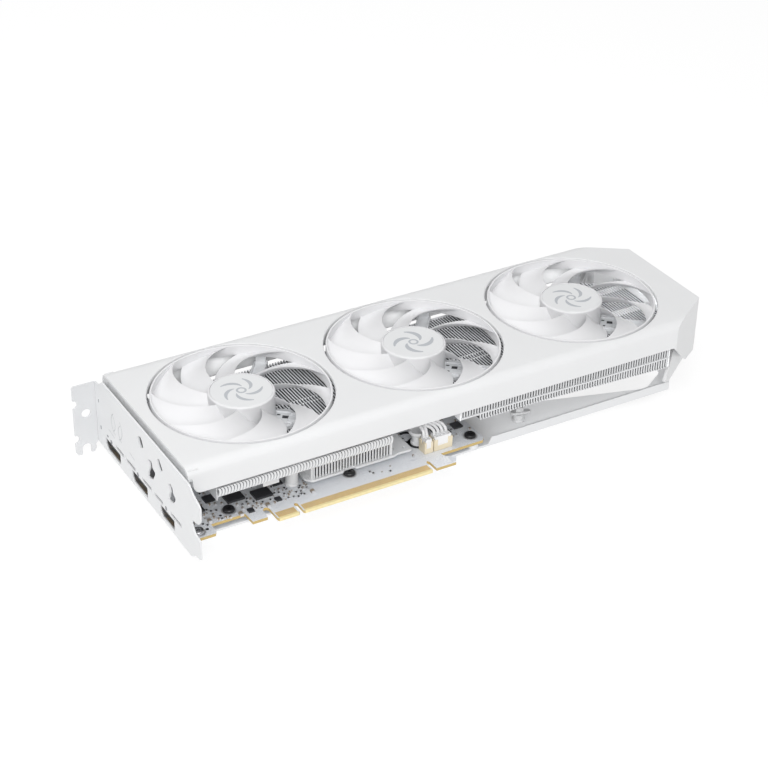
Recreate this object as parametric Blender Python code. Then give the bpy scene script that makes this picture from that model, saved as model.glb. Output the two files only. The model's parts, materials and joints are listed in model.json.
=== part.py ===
"""Triple-fan graphics card, white, with a short circuit board and a flow-through heatsink end.

Lengths are in millimetres in the card's own frame and are scaled to metres as the meshes are made.
Card frame: x = 0 is the outer face of the slot bracket and x grows along the card, y = 0 is the
contact edge of the board and y grows towards the card's top edge, z = 0 is the upper side of the
circuit board and z grows towards the fans.
"""

import math

import bmesh
import bpy
from mathutils import Matrix, Vector

MM = 0.001
GAP = 0.3

# Offsets that put the origin at the bottom centre of the whole card.
CARD_CENTRE_X = 147.55
CARD_CENTRE_Y = 50.495
CARD_BOTTOM_Z = -11.5

# Slot bracket (two slots tall).
SHEET = 0.86
FACE_LOW = -5.8
FLANGE_Y = 111.19
TAB_X = -12.2
SLOT_PITCH = 20.32

# Circuit board.
BOARD_T = 1.57
BOARD_X0 = 1.4
BOARD_X1 = 166.8
BOARD_Y1 = 102.4
KEY_X = 57.15
KEY_HALF = 0.95

# Display sockets: centre y, width along y, height along z, centre z.
DP_LEFT = (90.9, 17.2, 5.4, -0.8)
DP_MID = (58.7, 17.2, 5.4, -0.8)
HDMI = (27.0, 14.8, 5.2, -0.8)
SOCKET_DEPTH = 14.0

# Shroud.
SHROUD_X0 = 2.0
SHROUD_X1 = 307.3
SHROUD_Y0 = 5.8
SHROUD_Y1 = 104.6
SHROUD_TOP = 37.44
SHROUD_FILLET = 7.0
SHROUD_WALL = 2.0
SKIRT_Z = 24.0
BACK_SKIRT_Z = 18.9
END_WALL = (6.2, 7.5)

# Fans.
FAN_X = (53.52, 150.08, 246.64)
FAN_Y = 55.35
FAN_TURN = (-83.5, -91.5, -97.5)
FAN_HOLE_R = 45.64
HUB_R = 16.4
HUB_TOP = 38.2
HUB_LOW = 25.5
HUB_WALL = 1.5
HUB_SKIN = 1.5
BADGE_R = 15.1
BADGE_T = 0.3
SHAFT_R = 1.5
SHAFT_FIT = 0.06
RING_OUT = 44.2
RING_IN = 43.2
RING_TOP = 37.6
RING_LOW = 32.0
BLADES = 9
BLADE_SWEEP = 43.1
BLADE_THICK = 1.1

# Fan motor.
BASE_TOP = 25.2
BASE_LOW = 22.4
STRUT_R = 49.0
STRUT_HALF = 3.0
STRUT_TURN = -38.0

# Backplate.
PLATE_TOP = -4.3
PLATE_LOW = -5.5
PLATE_Y0 = 11.7
PLATE_Y1 = 103.5
LIP_TOP = -0.5

# Heatsink.
FIN_PITCH = 6.4
FIN_T = 0.8
FIN_TOP = 22.0
FIN_Y = (10.0, 97.2)
FLOW_FINS = 23
FULL_FINS = 20
END_FLANGE = 6.0
SHORT_FIN_LOW = 15.9
PIPE_R = 3.0
PIPE_Z = 10.0
PIPE_Y = (40.0, 50.0, 60.0, 70.0)


def clear_scene():
    for obj in list(bpy.data.objects):
        bpy.data.objects.remove(obj, do_unlink=True)


def material(name, colour, roughness, metallic=0.0):
    made = bpy.data.materials.new(name)
    made.use_nodes = True
    shader = made.node_tree.nodes["Principled BSDF"]
    shader.inputs["Base Color"].default_value = (*colour, 1.0)
    shader.inputs["Roughness"].default_value = roughness
    shader.inputs["Metallic"].default_value = metallic
    return made


def vertex(bm, x, y, z):
    return bm.verts.new((x * MM, y * MM, z * MM))


def prism(bm, outline, axis, low, high):
    """A closed prism of a flat outline. Along x the outline is (y, z), along y (x, z), along z (x, y)."""
    place = {
        "x": lambda a, b, c: (c, a, b),
        "y": lambda a, b, c: (a, c, b),
        "z": lambda a, b, c: (a, b, c),
    }[axis]
    slab(bm, *([place(a, b, c) for a, b in outline] for c in (low, high)))


def slab(bm, first, second):
    """A closed shape between two flat rings of points with the same count."""
    near, far = ([vertex(bm, *point) for point in ring] for ring in (first, second))
    faces = [bm.faces.new(near), bm.faces.new(far)]
    for i in range(len(near)):
        j = (i + 1) % len(near)
        faces.append(bm.faces.new((near[i], near[j], far[j], far[i])))
    bmesh.ops.recalc_face_normals(bm, faces=faces)


def box(bm, x0, x1, y0, y1, z0, z1):
    prism(bm, [(x0, y0), (x1, y0), (x1, y1), (x0, y1)], "z", z0, z1)


def lathe(bm, profile, segments, x=0.0, y=0.0):
    """A closed profile of (radius, z) turned about the z axis through (x, y). It may end on the axis."""
    tips = {j: vertex(bm, x, y, z) for j, (r, z) in enumerate(profile) if r == 0}
    columns = []
    for i in range(segments):
        angle = 2 * math.pi * i / segments
        columns.append([
            tips.get(j) or vertex(bm, x + r * math.cos(angle), y + r * math.sin(angle), z)
            for j, (r, z) in enumerate(profile)
        ])
    faces = []
    for i in range(segments):
        here, there = columns[i], columns[(i + 1) % segments]
        for j in range(len(profile)):
            k = (j + 1) % len(profile)
            corners = list(dict.fromkeys((here[j], there[j], there[k], here[k])))
            if len(corners) > 2:
                faces.append(bm.faces.new(corners))
    bmesh.ops.recalc_face_normals(bm, faces=faces)


def drum(bm, radius, low, high, segments, x=0.0, y=0.0):
    """A solid cylinder."""
    outline = []
    for i in range(segments):
        angle = 2 * math.pi * i / segments
        outline.append((x + radius * math.cos(angle), y + radius * math.sin(angle)))
    prism(bm, outline, "z", low, high)


def new_object(name, bm):
    mesh = bpy.data.meshes.new(name)
    bm.to_mesh(mesh)
    bm.free()
    obj = bpy.data.objects.new(name, mesh)
    bpy.context.scene.collection.objects.link(obj)
    return obj


def node(name, bm, look, parent, smooth=False):
    obj = new_object(name, bm)
    obj.parent = parent
    obj.data.materials.append(look)
    if smooth:
        shade_round(obj)
    return obj


def shade_round(obj):
    """Smooth shading with the real edges kept sharp."""
    mesh = obj.data
    for face in mesh.polygons:
        face.use_smooth = True
    mesh.set_sharp_from_angle(angle=math.radians(35))


def boolean(obj, operation, bm):
    """Adds or cuts the shape held in bm, which becomes a hidden helper in the same place."""
    helper = new_object(obj.name + "_" + operation.lower(), bm)
    helper.parent = obj.parent
    helper.hide_render = True
    helper.display_type = "WIRE"
    modifier = obj.modifiers.new(operation.title(), "BOOLEAN")
    modifier.operation = operation
    modifier.solver = "EXACT"
    modifier.object = helper


def empty(name, x, y, z, parent=None):
    made = bpy.data.objects.new(name, None)
    made.location = (x * MM, y * MM, z * MM)
    made.parent = parent
    bpy.context.scene.collection.objects.link(made)
    return made


def arc(cx, cy, radius, start, end, steps):
    points = []
    for i in range(steps + 1):
        angle = math.radians(start + (end - start) * i / steps)
        points.append((cx + radius * math.cos(angle), cy + radius * math.sin(angle)))
    return points


# ---------------------------------------------------------------- shroud


def shroud_profile(inset, low):
    """Cross-section of the shroud in (y, z), with its rounded top edges."""
    radius = SHROUD_FILLET - inset
    front = SHROUD_Y0 + inset
    back = SHROUD_Y1 - inset
    top = SHROUD_TOP - inset
    points = [(front, low)]
    points += arc(front + radius, top - radius, radius, 180, 90, 4)
    points += arc(back - radius, top - radius, radius, 90, 0, 4)
    points.append((back, low))
    return points


def shroud_plan(inset, x0):
    """Plan of the shroud in (x, y), with the far corners cut off."""
    step = inset * 0.3
    return [
        (x0, SHROUD_Y0 - 5),
        (272.1 - step, SHROUD_Y0 - 5),
        (SHROUD_X1 - inset, 24.3 + step),
        (SHROUD_X1 - inset, 86.4 - step),
        (272.1 - step, SHROUD_Y1 + 5),
        (x0, SHROUD_Y1 + 5),
    ]


def under_skirt(skirt, y0, y1):
    """Cutter for the room under a long side, in (x, z): raised skirt, deep far end."""
    slope_x = 278.0 + (SKIRT_Z - skirt) * 0.97
    bm = bmesh.new()
    prism(bm, [
        (-2.0, -5.0), (-2.0, 31.5), (5.0, 31.5), (7.7, skirt), (slope_x, skirt), (291.4, 10.2),
        (296.0, 6.4), (315.0, 4.6), (315.0, -5.0),
    ], "y", y0, y1)
    return bm


def corner_wing(mirror):
    """Inner wing under the cut-off corner, that reaches down to the backplate."""
    along = Vector((0.831, 0.556, 0.0))
    inward = Vector((-0.556, 0.831, 0.0))
    start = Vector((282.3, 12.1, 0.0))
    outline = [(-7.1, 2.6), (0.0, -0.5), (22.5, 1.7), (22.5, 36.0), (9.0, 36.0), (2.97, 17.1)]
    bm = bmesh.new()
    rings = []
    for depth in (0.0, 1.4):
        ring = []
        for t, z in outline:
            point = start + along * t + inward * depth
            y = point.y
            if mirror:
                y = 2 * FAN_Y - y
            ring.append((point.x, y, z))
        rings.append(ring)
    slab(bm, *rings)
    return bm


def make_shroud(look, parent):
    bm = bmesh.new()
    prism(bm, shroud_profile(0.0, 0.0), "x", SHROUD_X0, SHROUD_X1 + 5)
    shroud = node("shroud", bm, look, parent, smooth=True)
    plan = bmesh.new()
    prism(plan, shroud_plan(0.0, 0.0), "z", -10.0, 50.0)
    boolean(shroud, "INTERSECT", plan)
    boolean(shroud, "DIFFERENCE", under_skirt(SKIRT_Z, -10.0, 50.0))
    boolean(shroud, "DIFFERENCE", under_skirt(BACK_SKIRT_Z, 50.0, 120.0))
    hollow = new_object("shroud_hollow", hollow_core())
    hollow.parent = parent
    hollow.hide_render = True
    hollow.display_type = "WIRE"
    room = bmesh.new()
    prism(room, shroud_plan(SHROUD_WALL, -5.0), "z", -10.0, 50.0)
    boolean(hollow, "INTERSECT", room)
    cut = shroud.modifiers.new("Hollow", "BOOLEAN")
    cut.operation = "DIFFERENCE"
    cut.solver = "EXACT"
    cut.object = hollow
    wall = bmesh.new()
    box(wall, *END_WALL, SHROUD_Y0 + 1.2, SHROUD_Y1 - 1.2, SKIRT_Z, SHROUD_TOP - 1.2)
    boolean(shroud, "UNION", wall)
    holes = bmesh.new()
    for x in FAN_X:
        drum(holes, FAN_HOLE_R, 30.0, 45.0, 72, x, FAN_Y)
    boolean(shroud, "DIFFERENCE", holes)
    for mirror in (False, True):
        boolean(shroud, "UNION", corner_wing(mirror))
    return shroud


def hollow_core():
    bm = bmesh.new()
    prism(bm, shroud_profile(SHROUD_WALL, -5.0), "x", SHROUD_X0 - 5, SHROUD_X1 + 5)
    return bm


# ---------------------------------------------------------------- fans


def leading_angle(s):
    """Turn of the leading edge, in degrees, from the hub (s = 0) to the ring (s = 1)."""
    return -BLADE_SWEEP * (0.681 * s + 0.097 * s * s + 0.222 * s ** 3)


def blade_span(s):
    """Angle that the blade covers behind its leading edge."""
    return 37.0 - 26.0 * s + 22.0 * s * s


def leading_height(s):
    return 37.2 + 2.6 * s - 2.3 * s * s


def trailing_height(s):
    return 27.2 + 5.4 * s


def blade_point(s, t):
    """Point on the upper side of a blade: s from hub to ring, t from leading to trailing edge."""
    radius = HUB_R + (RING_IN - HUB_R) * s
    angle = math.radians(leading_angle(s) + blade_span(s) * t)
    z = leading_height(s) + (trailing_height(s) - leading_height(s)) * t
    return Vector((radius * math.cos(angle), radius * math.sin(angle), z))


def add_blade(bm, turn):
    spans = [-0.03, 0.25, 0.5, 0.75, 1.015]
    chords = [0.0, 0.33, 0.67, 1.0]
    spin = Matrix.Rotation(math.radians(turn), 3, "Z")
    layers = []
    for drop in (0.0, BLADE_THICK):
        grid = []
        for s in spans:
            row = []
            for t in chords:
                point = spin @ blade_point(s, t)
                row.append(vertex(bm, point.x, point.y, point.z - drop))
            grid.append(row)
        layers.append(grid)
    faces = []
    rows, columns = len(spans), len(chords)
    for grid in layers:
        for i in range(rows - 1):
            for j in range(columns - 1):
                faces.append(bm.faces.new((grid[i][j], grid[i + 1][j], grid[i + 1][j + 1], grid[i][j + 1])))
    rim = [(i, 0) for i in range(rows)]
    rim += [(rows - 1, j) for j in range(1, columns)]
    rim += [(i, columns - 1) for i in range(rows - 2, -1, -1)]
    rim += [(0, j) for j in range(columns - 2, 0, -1)]
    for k in range(len(rim)):
        a, b = rim[k], rim[(k + 1) % len(rim)]
        faces.append(bm.faces.new((
            layers[0][a[0]][a[1]], layers[0][b[0]][b[1]], layers[1][b[0]][b[1]], layers[1][a[0]][a[1]],
        )))
    bmesh.ops.recalc_face_normals(bm, faces=faces)


def make_rotor(name, x, turn, look, parent):
    """Hub cup, blades and outer ring: one moulding that turns about its own origin."""
    axis = empty(name + "_axis", x, FAN_Y, 0.0, parent)
    bm = bmesh.new()
    inner = HUB_R - HUB_WALL
    seat = HUB_TOP - BADGE_T - GAP
    lathe(bm, [
        (0.0, seat), (0.0, seat - HUB_SKIN), (inner, seat - HUB_SKIN), (inner, HUB_LOW), (HUB_R, HUB_LOW),
        (HUB_R, HUB_TOP - 0.7), (HUB_R - 0.7, HUB_TOP), (BADGE_R + GAP, HUB_TOP), (BADGE_R + GAP, seat),
    ], 36)
    lathe(bm, [
        (RING_IN, RING_LOW), (RING_OUT, RING_LOW), (RING_OUT, RING_TOP - 0.3),
        (RING_OUT - 0.4, RING_TOP), (RING_IN, RING_TOP),
    ], 72)
    rotor = node(name, bm, look, axis, smooth=True)
    blades = bmesh.new()
    for k in range(BLADES):
        add_blade(blades, turn - 360.0 / BLADES * k)
    boolean(rotor, "UNION", blades)
    return rotor


def make_motor(side, x, looks, parent):
    """Fixed motor base with its four struts, winding, bearing, and the turning shaft and magnet."""
    base = bmesh.new()
    lathe(base, [(4.6, BASE_LOW), (15.5, BASE_LOW), (15.5, BASE_TOP), (4.6, BASE_TOP)], 32, x, FAN_Y)
    motor = node("motor_base_" + side, base, looks["shroud"], parent, smooth=True)
    arms = bmesh.new()
    for k in range(4):
        add_strut(arms, x, STRUT_TURN + 90.0 * k)
    boolean(motor, "UNION", arms)

    coil = bmesh.new()
    lathe(coil, [
        (4.4, BASE_TOP + GAP), (9.0, BASE_TOP + GAP), (9.0, 27.0), (12.4, 27.0), (12.4, 33.0),
        (9.0, 33.0), (9.0, 34.5), (4.4, 34.5),
    ], 24, x, FAN_Y)
    node("stator_coil_" + side, coil, looks["copper"], parent, smooth=True)

    sleeve = bmesh.new()
    bore = SHAFT_R + SHAFT_FIT
    lathe(sleeve, [(bore, 22.4), (4.1, 22.4), (4.1, 35.0), (bore, 35.0)], 24, x, FAN_Y)
    node("bearing_sleeve_" + side, sleeve, looks["brass"], parent, smooth=True)


def add_strut(bm, x, angle):
    """A flat arm out to a post that hangs from the shroud."""
    spin = Matrix.Rotation(math.radians(angle), 3, "Z")
    outline = [(14.5, BASE_LOW), (STRUT_R + 1.6, BASE_LOW), (STRUT_R + 1.6, 35.1), (STRUT_R - 1.6, 35.1),
               (STRUT_R - 1.6, BASE_TOP), (14.5, BASE_TOP)]
    place = Vector((x, FAN_Y, 0.0))
    slab(bm, *([place + spin @ Vector((r, side, z)) for r, z in outline] for side in (-STRUT_HALF, STRUT_HALF)))


def make_spindle(side, looks, rotor):
    """Shaft and magnet ring that turn with the rotor, and the badge disc on the hub."""
    shaft = bmesh.new()
    drum(shaft, SHAFT_R, 23.0, HUB_TOP - BADGE_T - HUB_SKIN - 2 * GAP, 24)
    node("rotor_shaft_" + side, shaft, looks["steel"], rotor.parent, smooth=True)
    magnet = bmesh.new()
    lathe(magnet, [(12.9, 26.2), (14.6, 26.2), (14.6, 34.0), (12.9, 34.0)], 32)
    node("magnet_ring_" + side, magnet, looks["magnet"], rotor.parent, smooth=True)
    badge = bmesh.new()
    drum(badge, BADGE_R, HUB_TOP - BADGE_T, HUB_TOP, 36)
    node("hub_badge_" + side, badge, looks["badge"], rotor.parent)


# ---------------------------------------------------------------- bracket


def bracket_face():
    return [
        (FLANGE_Y, FACE_LOW), (FLANGE_Y, 29.0), (106.1, 29.4), (101.0, 33.5), (1.3, 33.5),
        (-2.4, 30.3), (-8.9, 28.0), (-10.2, 26.7), (-9.7, 20.0), (-8.1, 17.3), (-4.6, 16.1),
        (-1.3, 16.2), (0.3, 13.0), (-3.4, 9.0), (-9.0, 8.1), (-9.0, -2.3), (-3.4, -3.2),
        (0.6, -6.3), (15.0, -6.3), (20.0, FACE_LOW),
    ]


def bracket_tab():
    outer = [(SHEET, 29.0), (-11.4, 29.0), (TAB_X, 28.2)]
    outer += arc(TAB_X, SLOT_PITCH - 1.84, 2.2, 90, -90, 4)
    outer += arc(TAB_X, -1.84, 2.2, 90, -90, 4)
    outer += [(TAB_X, -9.6), (-11.0, CARD_BOTTOM_Z), (-8.6, CARD_BOTTOM_Z)]
    outer += arc(-6.3, -8.1, 2.3, 180, 0, 6)
    outer += [(-4.0, CARD_BOTTOM_Z), (-2.2, CARD_BOTTOM_Z), (-1.2, -9.6), (-1.2, -7.2), (SHEET, -5.8)]
    return outer


def port_cut(bm, port):
    y, width, height, z = port
    w, h = width / 2 + 0.4, height / 2 + 0.4
    prism(bm, [
        (y - w, z - h), (y + w - 2.0, z - h), (y + w, z - h + 2.0), (y + w, z + h), (y - w, z + h),
    ], "x", -2.0, 3.0)


def make_bracket(look, parent):
    bm = bmesh.new()
    prism(bm, bracket_face(), "x", 0.0, SHEET)
    bracket = node("io_bracket", bm, look, parent)
    tab = bmesh.new()
    prism(tab, bracket_tab(), "y", FLANGE_Y - SHEET, FLANGE_Y)
    boolean(bracket, "UNION", tab)
    cuts = bmesh.new()
    for port in (DP_LEFT, DP_MID, HDMI):
        port_cut(cuts, port)
    for y0, y1 in ((77.2, 86.6), (63.5, 73.4), (44.9, 54.5), (31.8, 40.5), (11.3, 22.5)):
        prism(cuts, [(y0, 4.0), (y1, 4.0), (y1, 4.9), (y0, 4.9)], "x", -2.0, 3.0)
    for y, z in ((52.3, 22.6), (30.4, 22.9)):
        prism(cuts, [(y, z - 0.6), (y + 3.2, z + 1.6), (y + 5.3, z + 4.9), (y + 2.2, z + 3.4)], "x", -2.0, 3.0)
    for y, z in ((39.0, 13.1), (17.0, 13.2)):
        prism(cuts, [
            (y, z + 1.2), (y + 1.9, z - 0.3), (y + 4.3, z + 2.5), (y + 7.8, z + 8.4), (y + 3.4, z + 4.9),
        ], "x", -2.0, 3.0)
    boolean(bracket, "DIFFERENCE", cuts)
    hole = bmesh.new()
    prism(hole, arc(-5.5, 12.0, 2.3, 0, 342, 19), "y", FLANGE_Y - 3, FLANGE_Y + 3)
    boolean(bracket, "DIFFERENCE", hole)
    return bracket


# ---------------------------------------------------------------- board


def board_outline():
    points = [
        (BOARD_X0, 3.9), (13.8, 3.9), (14.8, 5.4), (15.0, 11.4), (32.7, 11.4), (33.0, 3.8),
        (40.8, 3.8), (41.3, 9.8), (42.4, 11.2), (43.6, 11.2), (44.55, 9.9), (44.55, 1.2), (45.3, 0.0),
        (55.6, 0.0), (KEY_X - KEY_HALF, 0.7), (KEY_X - KEY_HALF, 6.9), (KEY_X, 7.7),
        (KEY_X + KEY_HALF, 6.9), (KEY_X + KEY_HALF, 0.7), (58.8, 0.0), (129.0, 0.0), (129.75, 1.2),
        (129.75, 7.2), (130.6, 8.1), (131.5, 7.2), (131.7, 0.5), (142.9, 0.5), (145.8, 5.0),
        (142.5, 6.3), (140.6, 8.6), (140.2, 10.6), (165.0, 10.8), (BOARD_X1, 12.8),
        (BOARD_X1, BOARD_Y1), (BOARD_X0, BOARD_Y1),
    ]
    for y, width, _height, _z in (DP_LEFT, DP_MID, HDMI):
        half = width / 2 + GAP
        points += [
            (BOARD_X0, y + half), (2.0 + SOCKET_DEPTH, y + half),
            (2.0 + SOCKET_DEPTH, y - half), (BOARD_X0, y - half),
        ]
    return points


def make_board(looks, parent):
    bm = bmesh.new()
    prism(bm, board_outline(), "z", -BOARD_T, 0.0)
    node("circuit_board", bm, looks["board"], parent)

    package = bmesh.new()
    box(package, 74.0, 112.0, 44.0, 82.0, GAP, 1.7)
    node("gpu_package", package, looks["package"], parent)
    die = bmesh.new()
    box(die, 83.0, 103.0, 54.0, 72.0, 2.0, 2.8)
    node("gpu_die", die, looks["die"], parent)
    places = ((56.0, 46.0), (56.0, 66.0), (118.0, 46.0), (118.0, 66.0), (78.0, 86.5), (96.0, 86.5))
    for i, (x, y) in enumerate(places):
        chip = bmesh.new()
        box(chip, x, x + 12.0, y, y + 14.0, GAP, 1.4)
        node("memory_chip_%d" % (i + 1), chip, looks["chip"], parent)


def make_socket(name, port, look, parent):
    """Display socket: a shell with a blind mouth, and the contact tongue inside it."""
    y, width, height, z = port
    w, h = width / 2, height / 2
    bm = bmesh.new()
    corner = 1.8
    prism(bm, [
        (y - w, z - h), (y + w - corner, z - h), (y + w, z - h + corner), (y + w, z + h), (y - w, z + h),
    ], "x", 0.5, 2.0 + SOCKET_DEPTH - GAP)
    socket = node(name, bm, look, parent)
    mouth = bmesh.new()
    w -= 0.5
    h -= 0.5
    prism(mouth, [
        (y - w, z - h), (y + w - corner, z - h), (y + w, z - h + corner), (y + w, z + h), (y - w, z + h),
    ], "x", -1.0, 11.0)
    boolean(socket, "DIFFERENCE", mouth)
    tongue = bmesh.new()
    box(tongue, 2.0, 11.5, y - w + 2.0, y + w - 2.0, z + 0.2, z + 1.2)
    boolean(socket, "UNION", tongue)


def make_power_socket(name, x, look, parent):
    """Eight-way power socket at the top edge, open towards +y, with one cavity."""
    bm = bmesh.new()
    box(bm, x, x + 19.0, 86.0, 102.0, GAP, 10.6)
    socket = node(name, bm, look, parent)
    mouth = bmesh.new()
    box(mouth, x + 1.0, x + 18.0, 89.5, 105.0, GAP + 1.0, 9.6)
    boolean(socket, "DIFFERENCE", mouth)


# ---------------------------------------------------------------- heatsink


def fin_outline(depth, low, high):
    """One fin in (y, z). A fin that reaches down past the heat pipes has a notch for each."""
    y0, y1 = depth
    outline = [(y0, low)]
    reach = PIPE_R + GAP
    if PIPE_Z - reach < low < PIPE_Z + reach and y1 > PIPE_Y[-1]:
        for y in PIPE_Y:
            outline += [(y - reach, low), (y - reach, PIPE_Z + reach),
                        (y + reach, PIPE_Z + reach), (y + reach, low)]
    return outline + [(y1, low), (y1, high), (y0, high)]


def corner_cut(x):
    """How far a fin stands back from the long sides, to clear the wings under the cut-off corners."""
    if x < 278.0:
        return 0.0
    return 7.4 + (x - 282.3) * 0.669


def make_fins(name, x0, count, depth, levels, short_count, look, parent):
    """Parallel fins across the card, joined by a folded strip along each edge. The first few may be short."""
    y0, y1 = depth
    low, high, strip = levels
    fins = bmesh.new()
    for i in range(count):
        x = x0 + FIN_PITCH * i
        bottom = low
        if i < short_count:
            bottom = SHORT_FIN_LOW
        cut = corner_cut(x + FIN_T)
        prism(fins, fin_outline((y0 + cut, y1 - cut), bottom, high), "x", x, x + FIN_T)
    stack = node(name, fins, look, parent)
    strips = bmesh.new()
    end = x0 + FIN_PITCH * (count - 1) + FIN_T
    full = min(end, x0 + FIN_PITCH * (FULL_FINS - 1) + FIN_T)
    box(strips, x0, full, y0, y0 + 0.8, strip, strip + 1.0)
    box(strips, x0, full, y1 - 0.8, y1, strip, strip + 1.0)
    if end > full:
        box(strips, full - FIN_T, end + END_FLANGE, 34.0, 35.0, high - 0.8, high)
        box(strips, full - FIN_T, end + END_FLANGE, 75.7, 76.7, high - 0.8, high)
    boolean(stack, "UNION", strips)
    if end > full:
        flange = bmesh.new()
        box(flange, end - 0.3, end + END_FLANGE, 34.0, 76.7, high - 0.8, high)
        boolean(stack, "UNION", flange)


def make_heatsink(looks, parent):
    make_fins("fin_stack_main", 24.0, 15, FIN_Y, (13.8, FIN_TOP, 17.0), 0, looks["fin"], parent)
    make_fins("fin_stack_flow", 150.4, FLOW_FINS, FIN_Y, (8.0, FIN_TOP, 16.4), 3, looks["fin"], parent)
    make_fins("vrm_fin_block", 71.6, 7, (19.6, 32.0), (3.6, 13.4, 3.6), 0, looks["fin"], parent)
    plate = bmesh.new()
    prism(plate, [(68.5, 19.0), (71.0, 16.0), (127.0, 16.0), (127.6, 17.0), (127.6, 34.0), (68.5, 34.0)],
          "z", 2.0, 3.3)
    node("vrm_base_plate", plate, looks["fin"], parent)
    cold = bmesh.new()
    box(cold, 70.0, 116.0, 36.0, 84.0, 3.1, 6.6)
    node("cold_plate", cold, looks["nickel"], parent)
    for i, y in enumerate(PIPE_Y):
        pipe = bmesh.new()
        outline = arc(y, PIPE_Z, PIPE_R, 0, 337.5, 15)
        prism(pipe, outline, "x", 30.0, 283.0)
        node("heat_pipe_%d" % (i + 1), pipe, looks["nickel"], parent, smooth=True)


# ---------------------------------------------------------------- backplate and small parts


def make_backplate(look, parent):
    bm = bmesh.new()
    prism(bm, [
        (2.0, PLATE_Y0), (282.5, PLATE_Y0), (303.0, 36.0), (303.0, 79.0), (282.5, PLATE_Y1), (2.0, PLATE_Y1),
    ], "z", PLATE_LOW, PLATE_TOP)
    plate = node("backplate", bm, look, parent)
    lip = bmesh.new()
    box(lip, 168.8, 282.5, PLATE_Y0, PLATE_Y0 + 1.2, PLATE_LOW, LIP_TOP)
    boolean(plate, "UNION", lip)
    window = bmesh.new()
    prism(window, [
        (196.0, 38.7), (271.5, 16.8), (288.5, 27.2), (288.5, 84.2), (271.5, 98.4), (196.0, 76.5),
    ], "z", -10.0, 5.0)
    boolean(plate, "DIFFERENCE", window)


def make_posts(looks, parent):
    pillar = bmesh.new()
    drum(pillar, 2.3, GAP, 13.5, 20, 63.4, 22.9)
    node("heatsink_pillar", pillar, looks["shroud"], parent, smooth=True)
    ring = bmesh.new()
    lathe(ring, [(3.0, GAP), (4.4, GAP), (4.4, 6.3), (3.0, 6.3)], 24, 135.0, 24.3)
    node("shroud_post", ring, looks["shroud"], parent, smooth=True)
    clip = bmesh.new()
    drum(clip, 2.6, PLATE_TOP + GAP, -1.5, 16, 195.0, 23.6)
    node("plate_clip_boss", clip, looks["shroud"], parent, smooth=True)
    spots = (
        ("board_screw_1", 27.1, 17.4, "black_metal"), ("board_screw_2", 91.9, 16.7, "black_metal"),
        ("board_screw_3", 161.3, 16.9, "black_metal"), ("bracket_screw", 7.0, 8.4, "steel"),
    )
    for name, x, y, look in spots:
        screw = bmesh.new()
        lathe(screw, [(0.0, GAP), (3.0, GAP), (3.0, 1.0), (2.2, 1.7), (0.0, 1.7)], 20, x, y)
        node(name, screw, looks[look], parent, smooth=True)


def make_headers(looks, parent):
    for name, x0, x1, look in (("light", 132.7, 137.3, "beige"), ("fan", 138.0, 148.5, "beige")):
        header = bmesh.new()
        box(header, x0, x1, 13.4, 19.2, GAP, 5.0)
        node(name + "_header", header, looks[look], parent)
        plug = bmesh.new()
        box(plug, x0 + 0.4, x1 - 0.4, 14.2, 18.4, 5.3, 8.0)
        node(name + "_plug", plug, looks["shroud"], parent)


def cable(name, points, radius, look, parent):
    curve = bpy.data.curves.new(name, "CURVE")
    curve.dimensions = "3D"
    curve.bevel_depth = radius * MM
    curve.bevel_resolution = 2
    curve.use_fill_caps = True
    spline = curve.splines.new("POLY")
    spline.points.add(len(points) - 1)
    for slot, (x, y, z) in zip(spline.points, points):
        slot.co = (x * MM, y * MM, z * MM, 1.0)
    obj = bpy.data.objects.new(name, curve)
    obj.parent = parent
    curve.materials.append(look)
    bpy.context.scene.collection.objects.link(obj)


def smooth_route(knots, steps):
    """Points along a soft curve through the knots."""
    ends = [knots[0], *knots, knots[-1]]
    route = []
    for i in range(1, len(ends) - 2):
        p0, p1, p2, p3 = (Vector(ends[i + k]) for k in (-1, 0, 1, 2))
        for k in range(steps):
            t = k / steps
            route.append(
                0.5 * ((2 * p1) + (p2 - p0) * t + (2 * p0 - 5 * p1 + 4 * p2 - p3) * t ** 2
                       + (3 * p1 - p0 - 3 * p2 + p3) * t ** 3)
            )
    route.append(Vector(knots[-1]))
    return [tuple(point) for point in route]


def make_cables(looks, parent):
    cable("fan_cable", smooth_route([
        (143.2, 16.3, 8.3), (143.2, 16.6, 11.2), (141.0, 19.0, 14.0), (137.4, 26.5, 15.4),
        (136.6, 34.0, 16.8), (136.0, 42.0, 19.5),
    ], 5), 0.9, looks["cable"], parent)
    cable("light_cable", smooth_route([
        (135.0, 16.3, 8.3), (134.8, 16.6, 11.6), (134.2, 18.4, 15.0), (133.0, 25.5, 17.0),
        (131.0, 34.0, 18.4), (129.0, 42.0, 20.5),
    ], 5), 0.7, looks["cable"], parent)


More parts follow.
